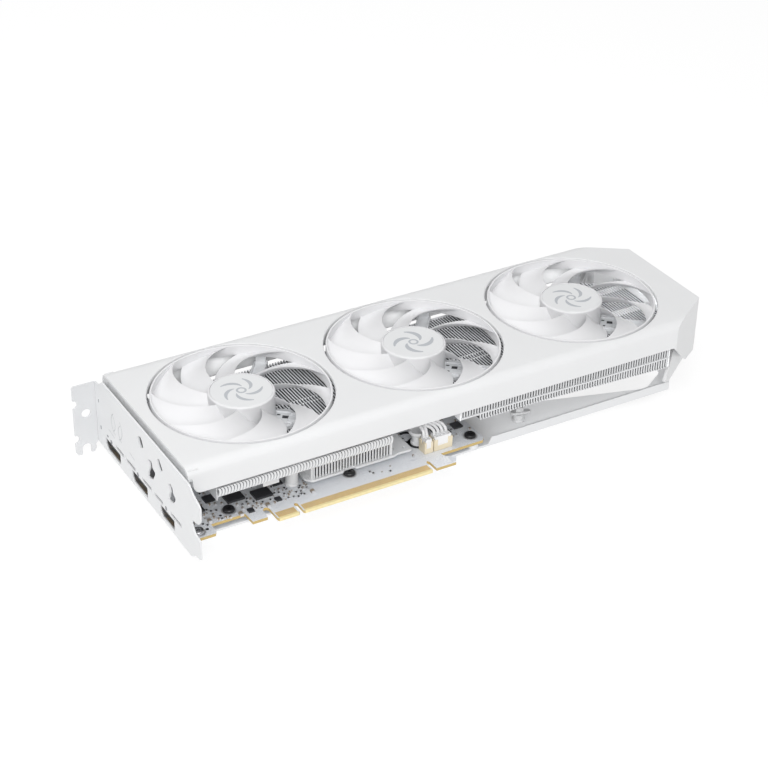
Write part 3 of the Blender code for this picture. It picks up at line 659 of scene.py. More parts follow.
def make_main_fins():
    x0, count = 17.4, 59
    comb("main_fins", "fin_stack_main", x0, count, MAIN_PITCH, (9.4, FIN_BACK, FIN_TOP), lambda x: 15.9)
    piece("main_fin_front", "fin", "white_fin",
          (chevrons, x0 - 0.2, count, MAIN_PITCH, (8, 9.5), (16.8, 21.3)),
          (box, (x0 - 0.2, x0 + MAIN_PITCH * count), (8.9, 9.6), (16, 16.6)),
          (box, (x0 - 0.5, x0 - 0.1), (8.2, 60), (14.8, 21.6)),
          (box, (42.6, 51), (11.6, 12.2), (11.8, 15.8)), smooth=0)
    rows = ((tabs, x0, count, MAIN_PITCH, 0.95, (y, y + 0.8), TAB_Z) for y in (52.7, 56.4))
    piece("main_fin_tabs", "fin", "white_fin", *rows, smooth=0)


def flow_low(x):
    """Lower edge of the deep stack, which steps down, then slopes down towards its far end."""
    if x < 161:
        return 16.6
    return 13.7 - 3.2 * min(1, max(0, (x - 195) / 77))


def flow_rail(x):
    """Lower edge of the rail along the front of the deep stack."""
    return 17 - 0.9 * min(1, max(0, (x - 190) / 37))


def make_flow_fins():
    x0, count, full, near = 150.6, 92, 80, 38
    full_x, end = x0 + FLOW_PITCH * full, x0 + FLOW_PITCH * count
    for name, node, first, some in (
        ("flow_fins", "fin_stack_flow", 0, near), ("flow_fins_far", "", near, count - near),
    ):
        comb(name, node, x0 + first * FLOW_PITCH, some, FLOW_PITCH, (10.2, FIN_BACK, FIN_TOP),
             lambda x: flow_low(x) + 0.3)
    bm = bmesh.new()
    for i in range(full):
        x = x0 + FLOW_PITCH * i
        rail, low = flow_rail(x), flow_low(x)
        box(bm, (x, x + 0.8), (9.7, 10.3), (rail + 0.8, 24.4))
        if x > 160:
            box(bm, (x, x + 0.8), (9.8, 10.3), (low, rail - 0.1))
            box(bm, (x, x + 0.95), (9.5, 10.6), (low, low + 0.7))
        box(bm, (x, x + FLOW_PITCH + 0.02), (9.3, 10.3), (rail, rail + 0.8))
    finish(new_object("flow_fin_front", bm), "fin", "white_fin", smooth=0)
    rows = ((tabs, x0, 60, FLOW_PITCH, 1.1, y, TAB_Z) for y in ((49, 49.9), (53.2, 54.1)))
    piece("flow_fin_tabs", "fin", "white_fin", *rows, smooth=0)
    rows = ((tabs, x0 + 70 * FLOW_PITCH, count - 70, FLOW_PITCH, 1.2, y, TAB_Z)
            for y in ((50, 55), (73, 77.6)))
    edges = ((box, (x0, full_x), y, (FIN_TOP - 0.5, FIN_TOP + 0.2))
             for y in ((9.6, 10.4), (FIN_BACK - 0.8, FIN_BACK)))
    piece("flow_fin_frame", "fin", "white_fin", *rows,
          (box, (x0 - 0.5, x0 - 0.1), (9.5, 40), (16.6, 24.2)),
          (box, (full_x - 0.3, full_x + 0.3), (9.6, 14), (10.7, 22.4)),
          (box, (end - 0.9, end - 0.5), (26, 84.7), (10.7, 22)),
          (box, (end - 0.9, end + 2.6), (34, 76.7), (21.6, 22.1)), *edges, smooth=0)


def make_vrm_block():
    x0, count, top = 72.4, 27, 15.4
    comb("vrm_fins", "vrm_fin_block", x0, count, VRM_PITCH, (17.7, 32, top), lambda x: 3.4)
    piece("vrm_fin_tabs", "fin", "white_fin",
          (tabs, x0 - 0.2, count, VRM_PITCH, 0.8, (17.1, 17.7), (3.4, top)),
          (tabs, x0 - 0.2, count, VRM_PITCH, 1.35, (17, 17.8), (14.8, 15.5)),
          (box, (70.8, 71.9), (17, 32), (3.3, top)),
          (box, (115, 115.9), (17, 32), (3.3, top)), smooth=0)
    outline = rounded([
        (68.5, 19), (71, 16), (88.4, 16), (89.4, 17.4), (94.6, 17.4), (95.6, 16), (117, 16),
        (119, 17), (127, 16.6), (127.6, 18), (127.6, 34), (68.5, 34),
    ], 0.9)
    holes = [(drum, 0.9, (1, 5), 24, 118.4, 21.6), (drum, 0.7, (1, 5), 24, 124.6, 20)]
    piece("vrm_plate", "fin", "white_fin", (prism, outline, "z", 2, 3.3), cuts=[holes],
          node="vrm_base_plate", bevel=0.18)


def make_pipes():
    """Round pipes with domed ends, and the plate that they are pressed into."""
    radius, start, end = 3, 30, 283
    dome = arc(0, 0, radius, radius, 0, 90, 6)
    profile = [(0, start), *((r, start + radius - rise) for r, rise in dome[-2:0:-1]),
               (radius, start + radius), (radius, end - radius),
               *((r, end - radius + rise) for r, rise in dome[1:-1]), (0, end)]
    for i, y in enumerate((40, 50, 60, 70), 1):
        along = Matrix.Translation((0, y, 10)) @ LIE_ALONG_X
        piece("round_pipe_%d" % i, "nickel", "nickel", (lathe, profile, 40, 0, 0, along),
              node="heat_pipe_%d" % i)
    plate = rounded(rect((70, 116), (36, 84)), 2.5)
    piece("pipe_plate", "nickel", "nickel", (prism, plate, "z", 3.1, 6.6), node="cold_plate",
          bevel=0.3)


# ---- bracket and sockets

SHEET = 0.86
FLANGE_Y = 111.19
TAB_X = -12.2
# Each socket's middle in y, its width and height, and its middle in z.
PORTS = {
    "displayport_left": (90.9, 17.2, 5.4, -0.8),
    "displayport_middle": (58.7, 17.2, 5.4, -0.8),
    "hdmi_port": (27, 14.8, 5.2, -0.8),
}
POWER_SOCKETS = {"power_socket_left": 122, "power_socket_right": 143}
# Outlines in (y, z) of the openings in the bracket, and the ends in y of the slits above the sockets.
VENTS = (
    [(57.3, 27.5), (54.7, 28.3), (52.8, 26.1), (52.2, 23.7), (54, 22.6), (56.1, 24.7)],
    [(35.5, 27.6), (33.8, 28), (31.8, 25.9), (30.2, 23.8), (31.8, 22.5), (33.9, 24.2)],
    [(46.4, 20.7), (45, 21.3), (42.6, 20.9), (42.2, 18.3), (39.3, 17.2), (39.4, 15.7), (42.4, 11.4),
     (46.6, 10.9), (45.9, 14.2), (44.2, 17.1), (44.5, 19.8)],
    [(23.4, 20.8), (21.7, 21.4), (19.6, 20.3), (19.1, 17.8), (16.7, 16.5), (16.8, 15), (18.9, 12.5),
     (23.5, 11.8), (22.7, 14.7), (21.3, 17.4), (21.8, 19.9)],
)
SLITS = ((77.2, 86.6), (63.5, 73.4), (44.9, 54.5), (31.8, 40.5), (11.3, 22.5))


def bracket_face():
    """The flat face against the rear of a case, in (y, z)."""
    return rounded([
        (FLANGE_Y, -5.8), (FLANGE_Y, 29), (106.1, 29.4), (101, 33.5), (1.3, 33.5),
        (-2.4, 30.3), (-8.9, 28), (-10.2, 26.7), (-9.7, 20), (-8.1, 17.3), (-4.6, 16.1),
        (-1.3, 16.2), (0.3, 13), (-3.4, 9), (-9, 8.1), (-9, -2.3), (-3.4, -3.2),
        (0.6, -6.3), (15, -6.3), (20, -5.8),
    ], 0.9)


def bracket_tab():
    """The tab that is bent outwards and screwed down, in (x, z), with its three screw notches."""
    return [
        (0, 29), (-11.4, 29), (TAB_X, 28.2), *arc(TAB_X, 18.48, 2.2, 2.2, 90, -90, 12),
        *arc(TAB_X, -1.84, 2.2, 2.2, 90, -90, 12), (TAB_X, -9.6), (-11, -11.5), (-8.6, -11.5),
        *arc(-6.3, -8.1, 2.3, 2.3, 180, 0, 16), (-4, -11.5), (-2.2, -11.5), (-1.2, -9.6), (-1.2, -7.2),
        (0, -5.8),
    ]


def port_outline(port, grow):
    """A socket's outline in (y, z), larger by grow all round."""
    y, width, height, z = port
    w, h, corner = width / 2 + grow, height / 2 + grow, 1.9
    return rounded([
        (y - w, z - h), (y + w - corner, z - h), (y + w, z - h + corner), (y + w, z + h), (y - w, z + h),
    ], 0.5, 2)


def make_bracket():
    """Face and tab. Each vent is cut in four overlapping steps, one beside the other."""
    through = ("x", -2, 3)
    mouths = [(prism, port_outline(port, 0.35), *through) for port in PORTS.values()]
    mouths += [(prism, rounded(rect((y0, y1 + 0.9), (3.1, 5)), 0.45), *through) for y0, y1 in SLITS]
    vents = [
        [(prism, rounded([(y + 0.42 * step, z - 0.3 * step) for y, z in outline], 0.5, 2), *through)
         for outline in VENTS]
        for step in range(4)
    ]
    piece("slot_bracket", "sheet", "white_sheet", (prism, bracket_face(), "x", 0, SHEET),
          cuts=[mouths, *vents], node="io_bracket", bevel=0.2, smooth=30)
    hole = (prism, arc(-5.5, 12, 2.3, 2.3, 0, 352.5, 47), "y", FLANGE_Y - 3, FLANGE_Y + 3)
    # The tab takes a darker copy of the bracket's coat: painted shade.
    piece("bracket_tab", "tab", "white_sheet", (prism, bracket_tab(), "y", FLANGE_Y - SHEET, FLANGE_Y),
          cuts=[[hole]], bevel=0.2, smooth=30)
    make_bracket_relief()


def make_bracket_relief():
    """Plain raised arcs and bars on the bracket's upper half, in a grey that is painted shade along the
    relief, and a small ring by each socket, dark as painted shade for a small dimple.
    """
    bm = bmesh.new()
    for y, z, r, start, end in (
        (84.5, 17, 6.5, 130, 250), (84.5, 17, 6.5, 290, 420), (77.5, 15.5, 5, -70, 60),
        (91.5, 16.5, 5.2, 110, 235),
    ):
        outer = arc(y, z, r + 0.26, r + 0.26, start, end, 20)
        inner = arc(y, z, r - 0.26, r - 0.26, end, start, 20)
        prism(bm, outer + inner, "x", -0.06, 0.1)
    for y0, y1, z in ((64, 69.5, 9.4), (88, 95, 8.2)):
        prism(bm, [(y0, z), (y1, z + 1.2), (y1, z + 1.7), (y0, z + 0.5)], "x", -0.06, 0.1)
    finish(new_object("bracket_relief", bm), "relief_painted_shade", "white_sheet", smooth=0)
    # The small rings and bars below are dark grey: painted shade for dimples and raised symbols.
    bm = bmesh.new()
    for y, z in ((92.8, 3.4), (60.6, 3.4), (28.2, 3.7)):
        lie = Matrix.Translation((-0.04, y, z)) @ LIE_ALONG_X
        lathe(bm, [(0.55, -0.02), (1.15, -0.02), (1.15, 0.08), (0.55, 0.08)], 24, turn=lie)
        drum(bm, 0.3, (-0.02, 0.08), 16, turn=lie)
    for y, z, wide, tall in ((97.1, 4.5, 0.9, 0.5), (106.4, 20, 0.35, 0.9), (105.4, 4.9, 0.45, 1.1)):
        prism(bm, rounded(rect((y - wide, y + wide), (z - tall, z + tall)), 0.3), "x", -0.05, 0.1)
    finish(new_object("bracket_marks", bm), "mark", "white_sheet", smooth=0)


def make_port(name, port):
    """A metal shell, the plastic core and tongue in it, and the contacts and springs."""
    y, width, height, z = port
    piece(name + "_shell", "shell", "socket", (prism, port_outline(port, 0), "x", 0.35, 15.6),
          cuts=[[(prism, port_outline(port, -0.45), "x", -1, 14)]], node=name, bevel=0.12)
    w = width / 2 - 2.2
    piece(name + "_core", "dark", "socket", (prism, port_outline(port, -0.5), "x", 5, 13.9),
          (box, (1, 6), (y - w, y + w), (z - 0.1, z + 0.9)), bevel=0.1)
    bm = bmesh.new()
    for i in range(9):
        at = y - w + 0.7 + (2 * w - 1.4) * i / 8
        for levels in ((z - 0.18, z - 0.08), (z + 0.88, z + 0.98)):
            box(bm, (1.2, 5.5), (at - 0.24, at + 0.24), levels)
    for i in range(5):
        at = y - w + 1 + 1.9 * i
        box(bm, (2.5, 3.1), (at - 0.4, at + 0.4), (z - height / 2 + 0.5, z - height / 2 + 0.8))
    finish(new_object(name + "_contacts", bm), "gold", "socket", smooth=0)


def make_power_socket(name, x):
    """Eight square cavities with a pin in each, and the solder tails behind them."""
    cuts, pins = [], bmesh.new()
    for column in range(4):
        for row in range(2):
            cx, cz = x + 2.9 + 4.4 * column, 3.1 + 4.7 * row
            square = rect((cx - 1.85, cx + 1.85), (cz - 1.85, cz + 1.85))
            cuts.append((prism, rounded(square, 0.9 if (column + row) % 2 else 0.25), "y", 89.5, 104))
            box(pins, (cx - 0.5, cx + 0.5), (89, 98.5), (cz - 0.5, cz + 0.5))
    piece(name + "_body", "dark", "power", (box, (x, x + 19), (86, 102), (0.3, 10.6)), cuts=[cuts],
          node=name, bevel=0.15)
    for k in range(4):
        box(pins, (x + 2.4 + 4.4 * k, x + 3.4 + 4.4 * k), (84.6, 86.2), (0.1, 3))
    finish(new_object(name + "_pins", pins), "pad", "power", smooth=0)


# ---- board

FINGER_PITCH = 1
# Places on the board, in (x, y). Each bare hole has its radius.
SCREWS = {
    "board_screw_1": (27.1, 17.4), "board_screw_2": (91.9, 16.7), "board_screw_3": (161.3, 16.9),
    "bracket_screw": (7, 8.4),
}
PILLAR = (63.4, 22.9)
POST = (135, 24.3)
BARE_HOLES = {(11.8, 8.8): 0.85, (21.9, 15.6): 0.7}
# Length, width and height of each kind of surface part.
CHIP_PARTS = {
    "resistor": (1.6, 0.8, 0.5), "cap": (1.6, 0.9, 0.9), "big_cap": (3.2, 1.7, 1.3), "small": (1, 0.5, 0.4),
    "chip": (3, 3, 0.9), "driver": (5, 5, 1), "large": (9, 7, 1.3),
}
# Bundles of wires: the wires' radius, then where each one starts in x and how far it strays from its
# neighbours in y and z, then the route's knots: (back from x, y, z, share of the stray in y, and in z).
WIRES = {
    "fan": (
        0.8,
        ((140, 0, 0), (142.2, 0.5, 0.5), (144.4, 0.2, 0.9), (146.6, 0.6, 0.6)),
        ((0, 17.2, 7.4, 0, 0), (0, 17.4, 9.4, 0, 0), (1.3, 18.4, 11.3, 1, 0.5), (4, 21.4, 12.4, 1, 0.5),
         (5, 26, 12.4, 0, 0), (5.4, 33, 13.4, 0, 0), (5, 42, 16, 0, 0)),
    ),
    "light": (
        0.85,
        ((134.2, 0, 0), (136, 0.6, 0.3)),
        ((0, 17.2, 7.4, 0, 0), (0.1, 17.4, 9.6, 1, 1), (0.2, 18.8, 11.6, 1, 1), (0.8, 22, 12.4, 1, 1),
         (2.2, 27, 12, 0, 0), (4, 33, 10.4, 0, 0), (6.5, 42, 8.6, 0, 0)),
    ),
}


def make_contacts():
    """Gold fingers on the two contact tongues, and below them an edge strip in a brighter gold, a painted
    highlight for the lit bevel.
    """
    bm, edge = bmesh.new(), bmesh.new()
    for start, end in ((45.2, 55.6), (58.8, 129.2)):
        for i in range(round((end - start) / FINGER_PITCH)):
            x = start + 0.15 + FINGER_PITCH * i
            box(bm, (x, x + 0.78), (1.2, 5.4), (-1.6, 0.035))
        # A brighter gold strip over the front edge: painted highlight for the lit bevel.
        box(edge, (start, end), (-0.02, 1.25), (-1.59, 0.03))
    finish(new_object("contact_fingers", bm), "gold", "board", smooth=0)
    finish(new_object("contact_edge_highlight", edge), "gold_edge_painted_highlight", "board", smooth=0)


def turn_new(bm, first, spin):
    """Moves the points that were added after the first ones."""
    bm.verts.ensure_lookup_table()
    bmesh.ops.transform(bm, matrix=spin, verts=bm.verts[first:])


def add_chip_part(groups, kind, x, y, turn):
    """One small surface part: a body, and its legs or its two metal ends."""
    length, width, height = CHIP_PARTS[kind]
    spin = Matrix.Translation((x, y, 0)) @ about_z(turn)
    legged = kind in ("chip", "driver", "large")
    body = groups["dark" if legged or kind == "resistor" else "ceramic"]
    half, wide = length / 2, width / 2
    marker = len(body.verts)
    box(body, (-half, half), (-wide, wide), (0, height))
    turn_new(body, marker, spin)
    ends = groups["ends"]
    marker = len(ends.verts)
    if legged:
        for k in range(int(length / 0.8)):
            at = -half + 0.5 + 0.8 * k
            box(ends, (at, at + 0.35), (-wide - 0.35, wide + 0.35), (0, 0.2))
    else:
        for x0, x1 in ((-half - 0.04, -half + length * 0.22), (half - length * 0.22, half + 0.04)):
            box(ends, (x0, x1), (-wide - 0.04, wide + 0.04), (0, height + 0.04))
    turn_new(ends, marker, spin)


def make_small_parts():
    """Surface parts over the board: seeded rows and clusters, kept clear of screws and sockets. The dense
    dark parts left of x 69 are real parts and also painted shade for the heatsink's shadow on the board.
    """
    draw = random.Random(11)
    groups = {key: bmesh.new() for key in ("dark", "ceramic", "ends")}
    fixed = (*SCREWS.values(), PILLAR, POST, *BARE_HOLES, (138, 16), (146, 16))
    taken = [(*at, room) for at, room in zip(fixed, (4.6, 4.2, 4.6, 4.2, 3.4, 5.6, 2, 1.8, 7, 6))]

    def place(kind, x, y, turn, room):
        if all(math.hypot(x - a, y - b) > r + room for a, b, r in taken):
            taken.append((x, y, room))
            add_chip_part(groups, kind, x, y, turn)

    for kind, room, places in (
        ("large", 5.2, ((33.5, 25.5), (46.5, 21.6))),
        ("driver", 3.2, ((57, 27), (22.5, 30))),
        ("chip", 2.2, ((36, 12), (51.5, 14))),
        ("driver", 3.2, ((14.5, 24.5),)),
        ("chip", 2.2, ((62, 31.5), (153, 25))),
        ("driver", 3.2, ((149, 31), (160, 28))),
    ):
        for x, y in places:
            place(kind, x, y, 0, room)
    # The dense clusters left of x 69 are partly painted shade: dark parts crowded where the heatsink's
    # shadow falls.
    for x0, x1, y0, y1, count in (
        (17.5, 69, 11.6, 22, 420), (17.5, 69, 22, 38, 160), (4, 18, 11, 38, 120),
        (60, 68, 9, 16, 9), (100, 131, 9, 15, 8), (128, 165, 20, 38, 70),
        (20, 160, 84, 98, 60),
    ):
        for _ in range(count):
            kind = draw.choice(("resistor", "cap", "small", "small", "cap", "resistor", "big_cap"))
            turn = draw.choice((0, 90))
            room = 2.1 if kind == "big_cap" else 0.86
            place(kind, draw.uniform(x0, x1), draw.uniform(y0, y1), turn, room)
    for key, look, slot in (
        ("dark", "chip", "chip"), ("ceramic", "ceramic", "chip"), ("ends", "pad", "steel"),
    ):
        finish(new_object("board_parts_" + key, groups[key]), look, slot, smooth=0)


def make_power_parts():
    """Chokes and round capacitors of the power stage, along the top edge of the board."""
    chokes = (
        (prism, rounded(rect((x, x + 7.4), (89.6, 97)), 1), "z", 0.1, 5.2)
        for x in (24 + 10.6 * i for i in range(9))
    )
    piece("power_chokes", "choke", "chip", *chokes, bevel=0.35)
    can = [(0, 0.8), (2.5, 0.8), (2.5, 6.2), (2.25, 6.6), (0, 6.6)]
    foot = [(0, 0.1), (2.9, 0.1), (2.9, 0.7), (2.7, 0.9), (0, 0.9)]
    for name, look, slot, profile in (
        ("capacitor_cans", "steel", "steel", can), ("capacitor_feet", "dark", "chip", foot),
    ):
        piece(name, look, slot, *((lathe, profile, 32, 29 + 21.2 * i, 82.6) for i in range(5)))


def plus(long, wide):
    """Outline of a cross, for the recess in a screw head."""
    return [(long, -wide), (long, wide), (wide, wide), (wide, long), (-wide, long), (-wide, wide),
            (-long, wide), (-long, -wide), (-wide, -wide), (-wide, -long), (wide, -long), (wide, -wide)]


def screw(name, look, node):
    """Pan head with a cross recess, on a bare metal ring."""
    x, y = SCREWS[node]
    head = [(0, 0.15), (2.9, 0.15), (2.95, 0.9), *arc(1.9, 0.9, 1, 0.9, 15, 90, 5), (0, 1.82)]
    turn = about_z(24)
    cross = drawn((slab, *(
        [turn @ Vector((a, b, z)) for a, b in plus(long, wide)]
        for z, long, wide in ((0.7, 0.7, 0.24), (2.4, 1.6, 0.34))
    )))
    bmesh.ops.translate(cross, verts=cross.verts, vec=(x, y, 0))
    made = new_object(name, drawn((lathe, head, 48, x, y)))
    boolean(made, "DIFFERENCE", cross)
    finish(made, look, look, node)
    ring = (lathe, [(2, 0), (3.7, 0), (3.7, 0.07), (2, 0.07)], 48, x, y)
    piece(name + "_ring", "pad", "steel", ring, smooth=0)


def make_posts():
    """Screws, posts, bosses and the bare holes beside them, the holes drawn as thin dark discs that are
    painted shade.
    """
    for i in (1, 2, 3):
        screw("cross_screw_%d" % i, "black_metal", "board_screw_%d" % i)
    screw("cross_screw_bracket", "steel", "bracket_screw")
    # Each bare hole is a thin black disc on the board: painted shade.
    holes = ((drum, r, (0, 0.06), 24, *at) for at, r in BARE_HOLES.items())
    piece("board_hole_shadows", "dark", "board", *holes, smooth=0)
    pillar = [
        (0, 0.2), (3.5, 0.2), (3.55, 0.9), (3.3, 1.3), (3.1, 1.5), (3.2, 1.9), (3.2, 15.2), (0, 15.2),
    ]
    piece("pillar_turned", "shroud", "white_plastic", (lathe, pillar, 40, *PILLAR),
          node="heatsink_pillar")
    sleeve = [
        (0, 0.2), (3.6, 0.2), (3.6, 1.1), (3, 1.5), (3, 4.9), (3.5, 5.6), (4.5, 6.3), (4.85, 7.2),
        (4.85, 7.9), (4.6, 8.1), (4.1, 8.1), (3.9, 7.6), (3.8, 6.6), (0, 6.3),
    ]
    piece("post_sleeve", "shroud", "white_plastic", (lathe, sleeve, 56, *POST), node="shroud_post")
    ring = [(3.6, 0), (5, 0), (5, 0.3), (3.6, 0.3)]
    rings = ((lathe, ring, 40, *at) for at in (POST, (132.7, 30.8)))
    piece("post_rings", "dark", "black_metal", *rings, smooth=0)
    hook = [(191, 23), (199.5, 20.6), (201.2, 21.6), (200.6, 23.4), (192.4, 26.2), (190.6, 25)]
    piece("clip_boss", "shroud", "white_plastic",
          (lathe, [(0, -4.3), (3.3, -4.3), (3.3, -3.4), (2.7, -3), (2.7, -0.4), (0, -0.4)], 40, 195, 23.6),
          (prism, rounded(hook, 0.8), "z", -0.4, 0.9),
          (prism, rounded([(193, 23), (197, 22), (197.4, 24.4), (193.6, 25.6)], 0.5), "z", 0.9, 3.2),
          node="plate_clip_boss", bevel=0.15)
    piece("plate_stud", "sheet", "white_sheet",
          (lathe, [(0, -4.3), (3, -4.3), (3, -2.2), (2.6, -1.9), (0, -1.9)], 40, 161, 14))
    boss = [(0, 12), (2.2, 12), (2.2, 25.6), (1.9, 26), (0, 26)]
    piece("shroud_bosses", "shroud", "white_plastic", *((lathe, boss, 32, 287, y) for y in (93, 17.7)))


def make_headers():
    """Beige headers with open fronts, and their white plugs."""
    for name, x0, x1, ways in (("light", 132.6, 137.4, 2), ("fan", 138, 148.6, 4)):
        wide = x1 - x0
        piece(name + "_header_body", "beige", "beige", (box, (x0, x1), (13.3, 19.2), (0.1, 6.5)), cuts=[
            [(box, (x0 + 0.6, x1 - 0.6), (14.1, 18.6), (1.6, 8))],
            [(box, (x0 + wide * 0.2, x1 - wide * 0.24), (13, 14.2), (2.9, 8))],
            [(box, (x0 - 0.5, x0 + 0.65), (15.6, 17.2), (5, 8))],
        ], node=name + "_header", bevel=0.12)
        holes = [(drum, 0.62, (5, 9), 20, x0 + 0.7 + (wide - 1.4) * (i + 0.5) / ways, 15)
                 for i in range(ways)]
        block = (box, (x0 + 0.7, x1 - 0.7), (13.6, 18.5), (1.7, 8))
        piece(name + "_plug_body", "wire", "white_plastic", block, cuts=[holes],
              node=name + "_plug", bevel=0.15)


def smooth_route(knots, steps=8):
    """Points along a soft curve through the knots."""
    ends = [knots[0], *knots, knots[-1]]
    route = []
    for i in range(1, len(ends) - 2):
        p0, p1, p2, p3 = (Vector(ends[i + k]) for k in (-1, 0, 1, 2))
        for k in range(steps):
            t = k / steps
            route.append(0.5 * ((2 * p1) + (p2 - p0) * t + (2 * p0 - 5 * p1 + 4 * p2 - p3) * t ** 2
                                + (3 * p1 - p0 - 3 * p2 + p3) * t ** 3))
    return route + [Vector(knots[-1])]


def make_wires():
    """Thin white wires from plug to heatsink. They rise from the plugs and bend back under the shroud."""
    for name, (radius, starts, knots) in WIRES.items():
        curve = bpy.data.curves.new(name + "_wires", "CURVE")
        curve.dimensions = "3D"
        curve.bevel_depth = radius * MM
        curve.bevel_resolution = 4
        curve.use_fill_caps = True
        for x, dy, dz in starts:
            spline = curve.splines.new("POLY")
            route = smooth_route([(x - back, y + dy * a, z + dz * b) for back, y, z, a, b in knots])
            spline.points.add(len(route) - 1)
            for point, place in zip(spline.points, route):
                point.co = (*(TO_ROW @ place), 1)
            spline.use_smooth = True
        finish(place_object(name + "_wires", curve), "wire", "white_cable", name + "_cable", smooth=0)


def make_backplate():
    """The panel with its window and slots, and the lip along its front edge."""
    outline = [(2, 11.7), (282.5, 11.7), (303, 36), (303, 79), (282.5, 103.5), (2, 103.5)]
    panel = new_object("back_panel", drawn((prism, rounded(outline, 1.2), "z", -5.5, -4.3)))
    lip = [(168.8, -5.5), (171.2, -0.5), (282.2, -0.5), (282.5, -5.5)]
    piece("panel_lip", "sheet", "white_sheet", (prism, lip, "y", 11.65, 12.85), bevel=0.2, smooth=30)
    window = [(196, 38.7), (271.5, 16.8), (288.5, 27.2), (288.5, 84.2), (271.5, 98.4), (196, 76.5)]
    slots = (
        (prism, rounded([(x, 40), (x + 1.8, 40), (x + 9.8, 76), (x + 8, 76)], 0.9), "z", -10, 5)
        for x in (24 + 4.2 * i for i in range(9))
    )
    cut(panel, (prism, rounded(window, 3, 6), "z", -10, 5), *slots)
    finish(panel, "sheet", "white_sheet", "backplate", bevel=0.25, smooth=30)
    make_back_screws()


def make_back_screws():
    """Screws that come through the backplate, sunk almost flush."""
    places = (
        (72, 42), (114, 42), (72, 84), (114, 84), (10, 18), (10, 97), (160, 18),
        (160, 97), (190, 18), (190, 97), (296, 40), (296, 75),
    )
    head = [(0, -5.2), (2.6, -5.2), (2.6, -5.7), (2.2, -6), (0, -6)]
    crosses = [(prism, [(x + a, y + b) for a, b in plus(1.3, 0.3)], "z", -6.5, -5.55) for x, y in places]
    piece("back_screws", "steel", "steel", *((lathe, head, 32, x, y) for x, y in places), cuts=[crosses])


def dress_frame():
    """Materials for the CAD nodes that stay as they are."""
    looks = {"circuit_board": "board", "gpu_package": "package", "gpu_die": "die"}
    looks.update({"memory_chip_%d" % i: "chip" for i in range(1, 7)})
    motor = dict(stator_coil="copper", bearing_sleeve="brass", rotor_shaft="steel", magnet_ring="magnet")
    looks.update({part + "_" + side: look for part, look in motor.items() for side in SIDES})
    for node, look in looks.items():
        frame["nodes"][node].data.materials.clear()
        frame["nodes"][node].data.materials.append(LOOKS[look])


# ---- stage

FLOOR_GREY = (0.25, 0.25, 0.25)
FLOOR_GLOW = 0.8
SKY = 0.34


def make_camera():
    """A camera that looks at AIM from AZIMUTH and ELEVATION, and is then rolled."""
    azimuth, elevation, roll = (math.radians(angle) for angle in (AZIMUTH, ELEVATION, ROLL))
    level = math.cos(elevation)
    back = Vector((math.sin(azimuth) * level, -math.cos(azimuth) * level, math.sin(elevation)))
    right = Vector((math.cos(azimuth), math.sin(azimuth), 0))
    up = back.cross(right)
    tilted_right = right * math.cos(roll) + up * math.sin(roll)
    tilted_up = up * math.cos(roll) - right * math.sin(roll)
    camera = place_object("camera", bpy.data.cameras.new("camera"))
    camera.data.lens = LENS
    camera.data.sensor_width = 36
    turn = Matrix((tilted_right, tilted_up, back)).transposed().to_4x4()
    turn.translation = TO_ROW @ (AIM + back * DISTANCE)
    camera.matrix_world = turn
    bpy.context.scene.camera = camera


def area_light(name, place, aim, size, power):
    light = place_object(name, bpy.data.lights.new(name, "AREA"))
    light.data.shape = "RECTANGLE"
    light.data.size, light.data.size_y = size
    light.data.energy = power
    light.location = place
    light.rotation_euler = (Vector(aim) - Vector(place)).to_track_quat("-Z", "Y").to_euler()
    return light


def fill_light(name, pieces, place, size, power, aim=(0, 0, 0), blockers=None):
    """A soft light that reaches only the named pieces. Only blockers can shade it, where they are given."""
    lit = bpy.data.collections.new(name + "_lit")
    for lit_piece in pieces:
        lit.objects.link(bpy.data.objects[lit_piece])
    light = area_light(name, place, aim, size, power)
    light.light_linking.receiver_collection = lit
    light.light_linking.blocker_collection = blockers
    light.visible_camera = False


def make_stage():
    """A pale floor that glows a little, an even sky and two soft studio lights."""
    grid = bmesh.new()
    bmesh.ops.create_grid(grid, x_segments=2, y_segments=2, size=6)
    floor = new_object("floor", grid, Matrix.Identity(4))
    made, tree, shader = shader_of("light_table", FLOOR_GREY, 0.9, specular=0)
    feed(tree, shader, Emission_Color=(1, 1, 1, 1), Emission_Strength=FLOOR_GLOW)
    floor.data.materials.append(made)
    floor.location.z = -0.0002
    world = bpy.data.worlds.new("studio")
    world.use_nodes = True
    feed(world.node_tree, world.node_tree.nodes["Background"], Color=(1, 1, 1, 1), Strength=SKY)
    bpy.context.scene.world = world
    centre = (0, 0, 0)
    area_light("top", (-0.15, 0.2, 1.3), centre, (1.6, 1.6), 8)
    area_light("front", (-0.62, -0.85, 1.02), centre, (1.4, 1.2), 13.8)
    make_fills(floor)


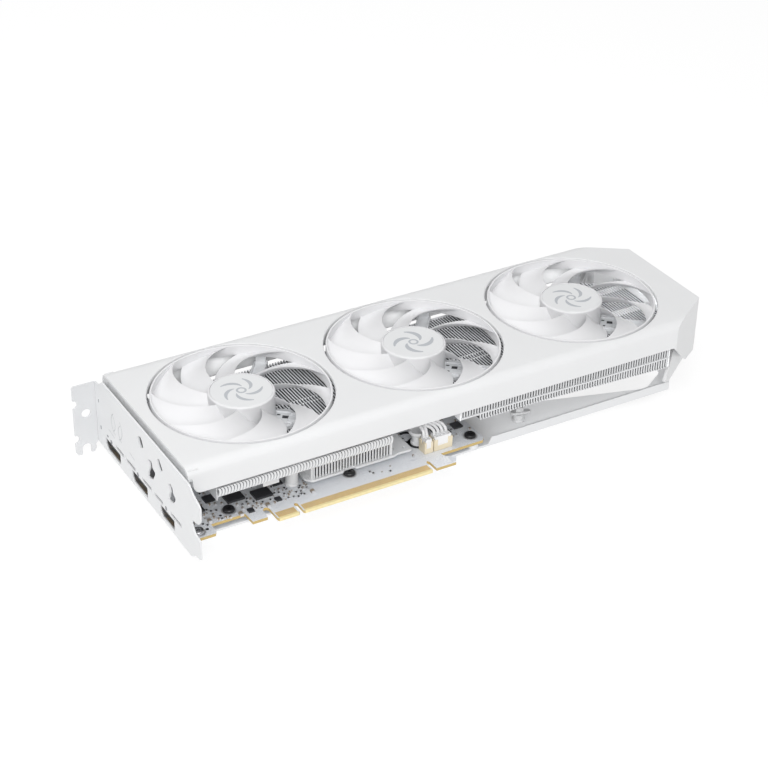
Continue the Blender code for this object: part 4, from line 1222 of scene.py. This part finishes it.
def make_fills(floor):
    """Weak lights, each for the pieces that it names. Those that name blockers pass through the card."""
    beside, wide = (-0.52, -0.87, 0.75), (0.5, 0.5)
    fill_light("fill_fins", ("main_fins", "main_fin_tabs", "flow_fins", "flow_fin_tabs"), beside, wide, 12)
    fill_light("fill_far", ("flow_fins_far",), beside, wide, 20)
    fill_light("fill_inner", ("flow_fin_frame", "shroud_liner", "shroud_liner_end"), beside, wide, 17)
    unshaded = bpy.data.collections.new("fill_blockers")
    unshaded.objects.link(floor)
    corner, far_end = TO_ROW @ Vector((262, 40, 45)), TO_ROW @ Vector((300, 80, 20))
    small = (0.03, 0.03)
    fill_light("fill_corner", ("shroud_liner_end",), corner, small, 0.04, far_end, unshaded)
    fill_light("fill_back", ("shroud_liner", "corner_liner"), corner, small, 0.011, far_end, unshaded)
    mouths = [port + kind for port in PORTS for kind in ("_contacts", "_shell")]
    ports_at = TO_ROW @ Vector((0, 60, 5))
    fill_light("fill_ports", mouths, (-0.75, -0.45, 0.25), (0.2, 0.2), 1.5, ports_at, unshaded)
    motors = [kind + side for kind in ("motor_frame_", "motor_slots_") for side in SIDES]
    fill_light("fill_motors", motors, beside, wide, 9)
    front = [
        "circuit_board", "clip_boss", "pillar_turned", "post_sleeve", "vrm_plate", "vrm_fins",
        "vrm_fin_tabs", "board_parts_dark", "board_parts_ceramic", "board_parts_ends", "cross_screw_1",
        "cross_screw_2", *mouths,
    ]
    front += [name + kind for name in WIRES for kind in ("_header_body", "_plug_body", "_wires")]
    fill_light("fill_front", front, (-0.4, -1, 0.5), (0.6, 0.3), 3)
    over = TO_ROW @ Vector((236, 44, 5.6))
    fill_light("fill_panel", ("back_panel",), over, (0.12, 0.07), 0.012, over - Vector((0, 0, 1)))


def main():
    make_camera()
    bpy.context.scene.view_settings.view_transform = "Standard"
    make_shroud()
    for side in SIDES:
        make_rotor(side)
        make_badge(side)
        make_motor(side)
    make_main_fins()
    make_flow_fins()
    make_vrm_block()
    make_pipes()
    make_bracket()
    for name, port in PORTS.items():
        make_port(name, port)
    for name, x in POWER_SOCKETS.items():
        make_power_socket(name, x)
    make_contacts()
    make_small_parts()
    make_power_parts()
    make_posts()
    make_headers()
    make_wires()
    make_backplate()
    dress_frame()
    make_stage()


main()
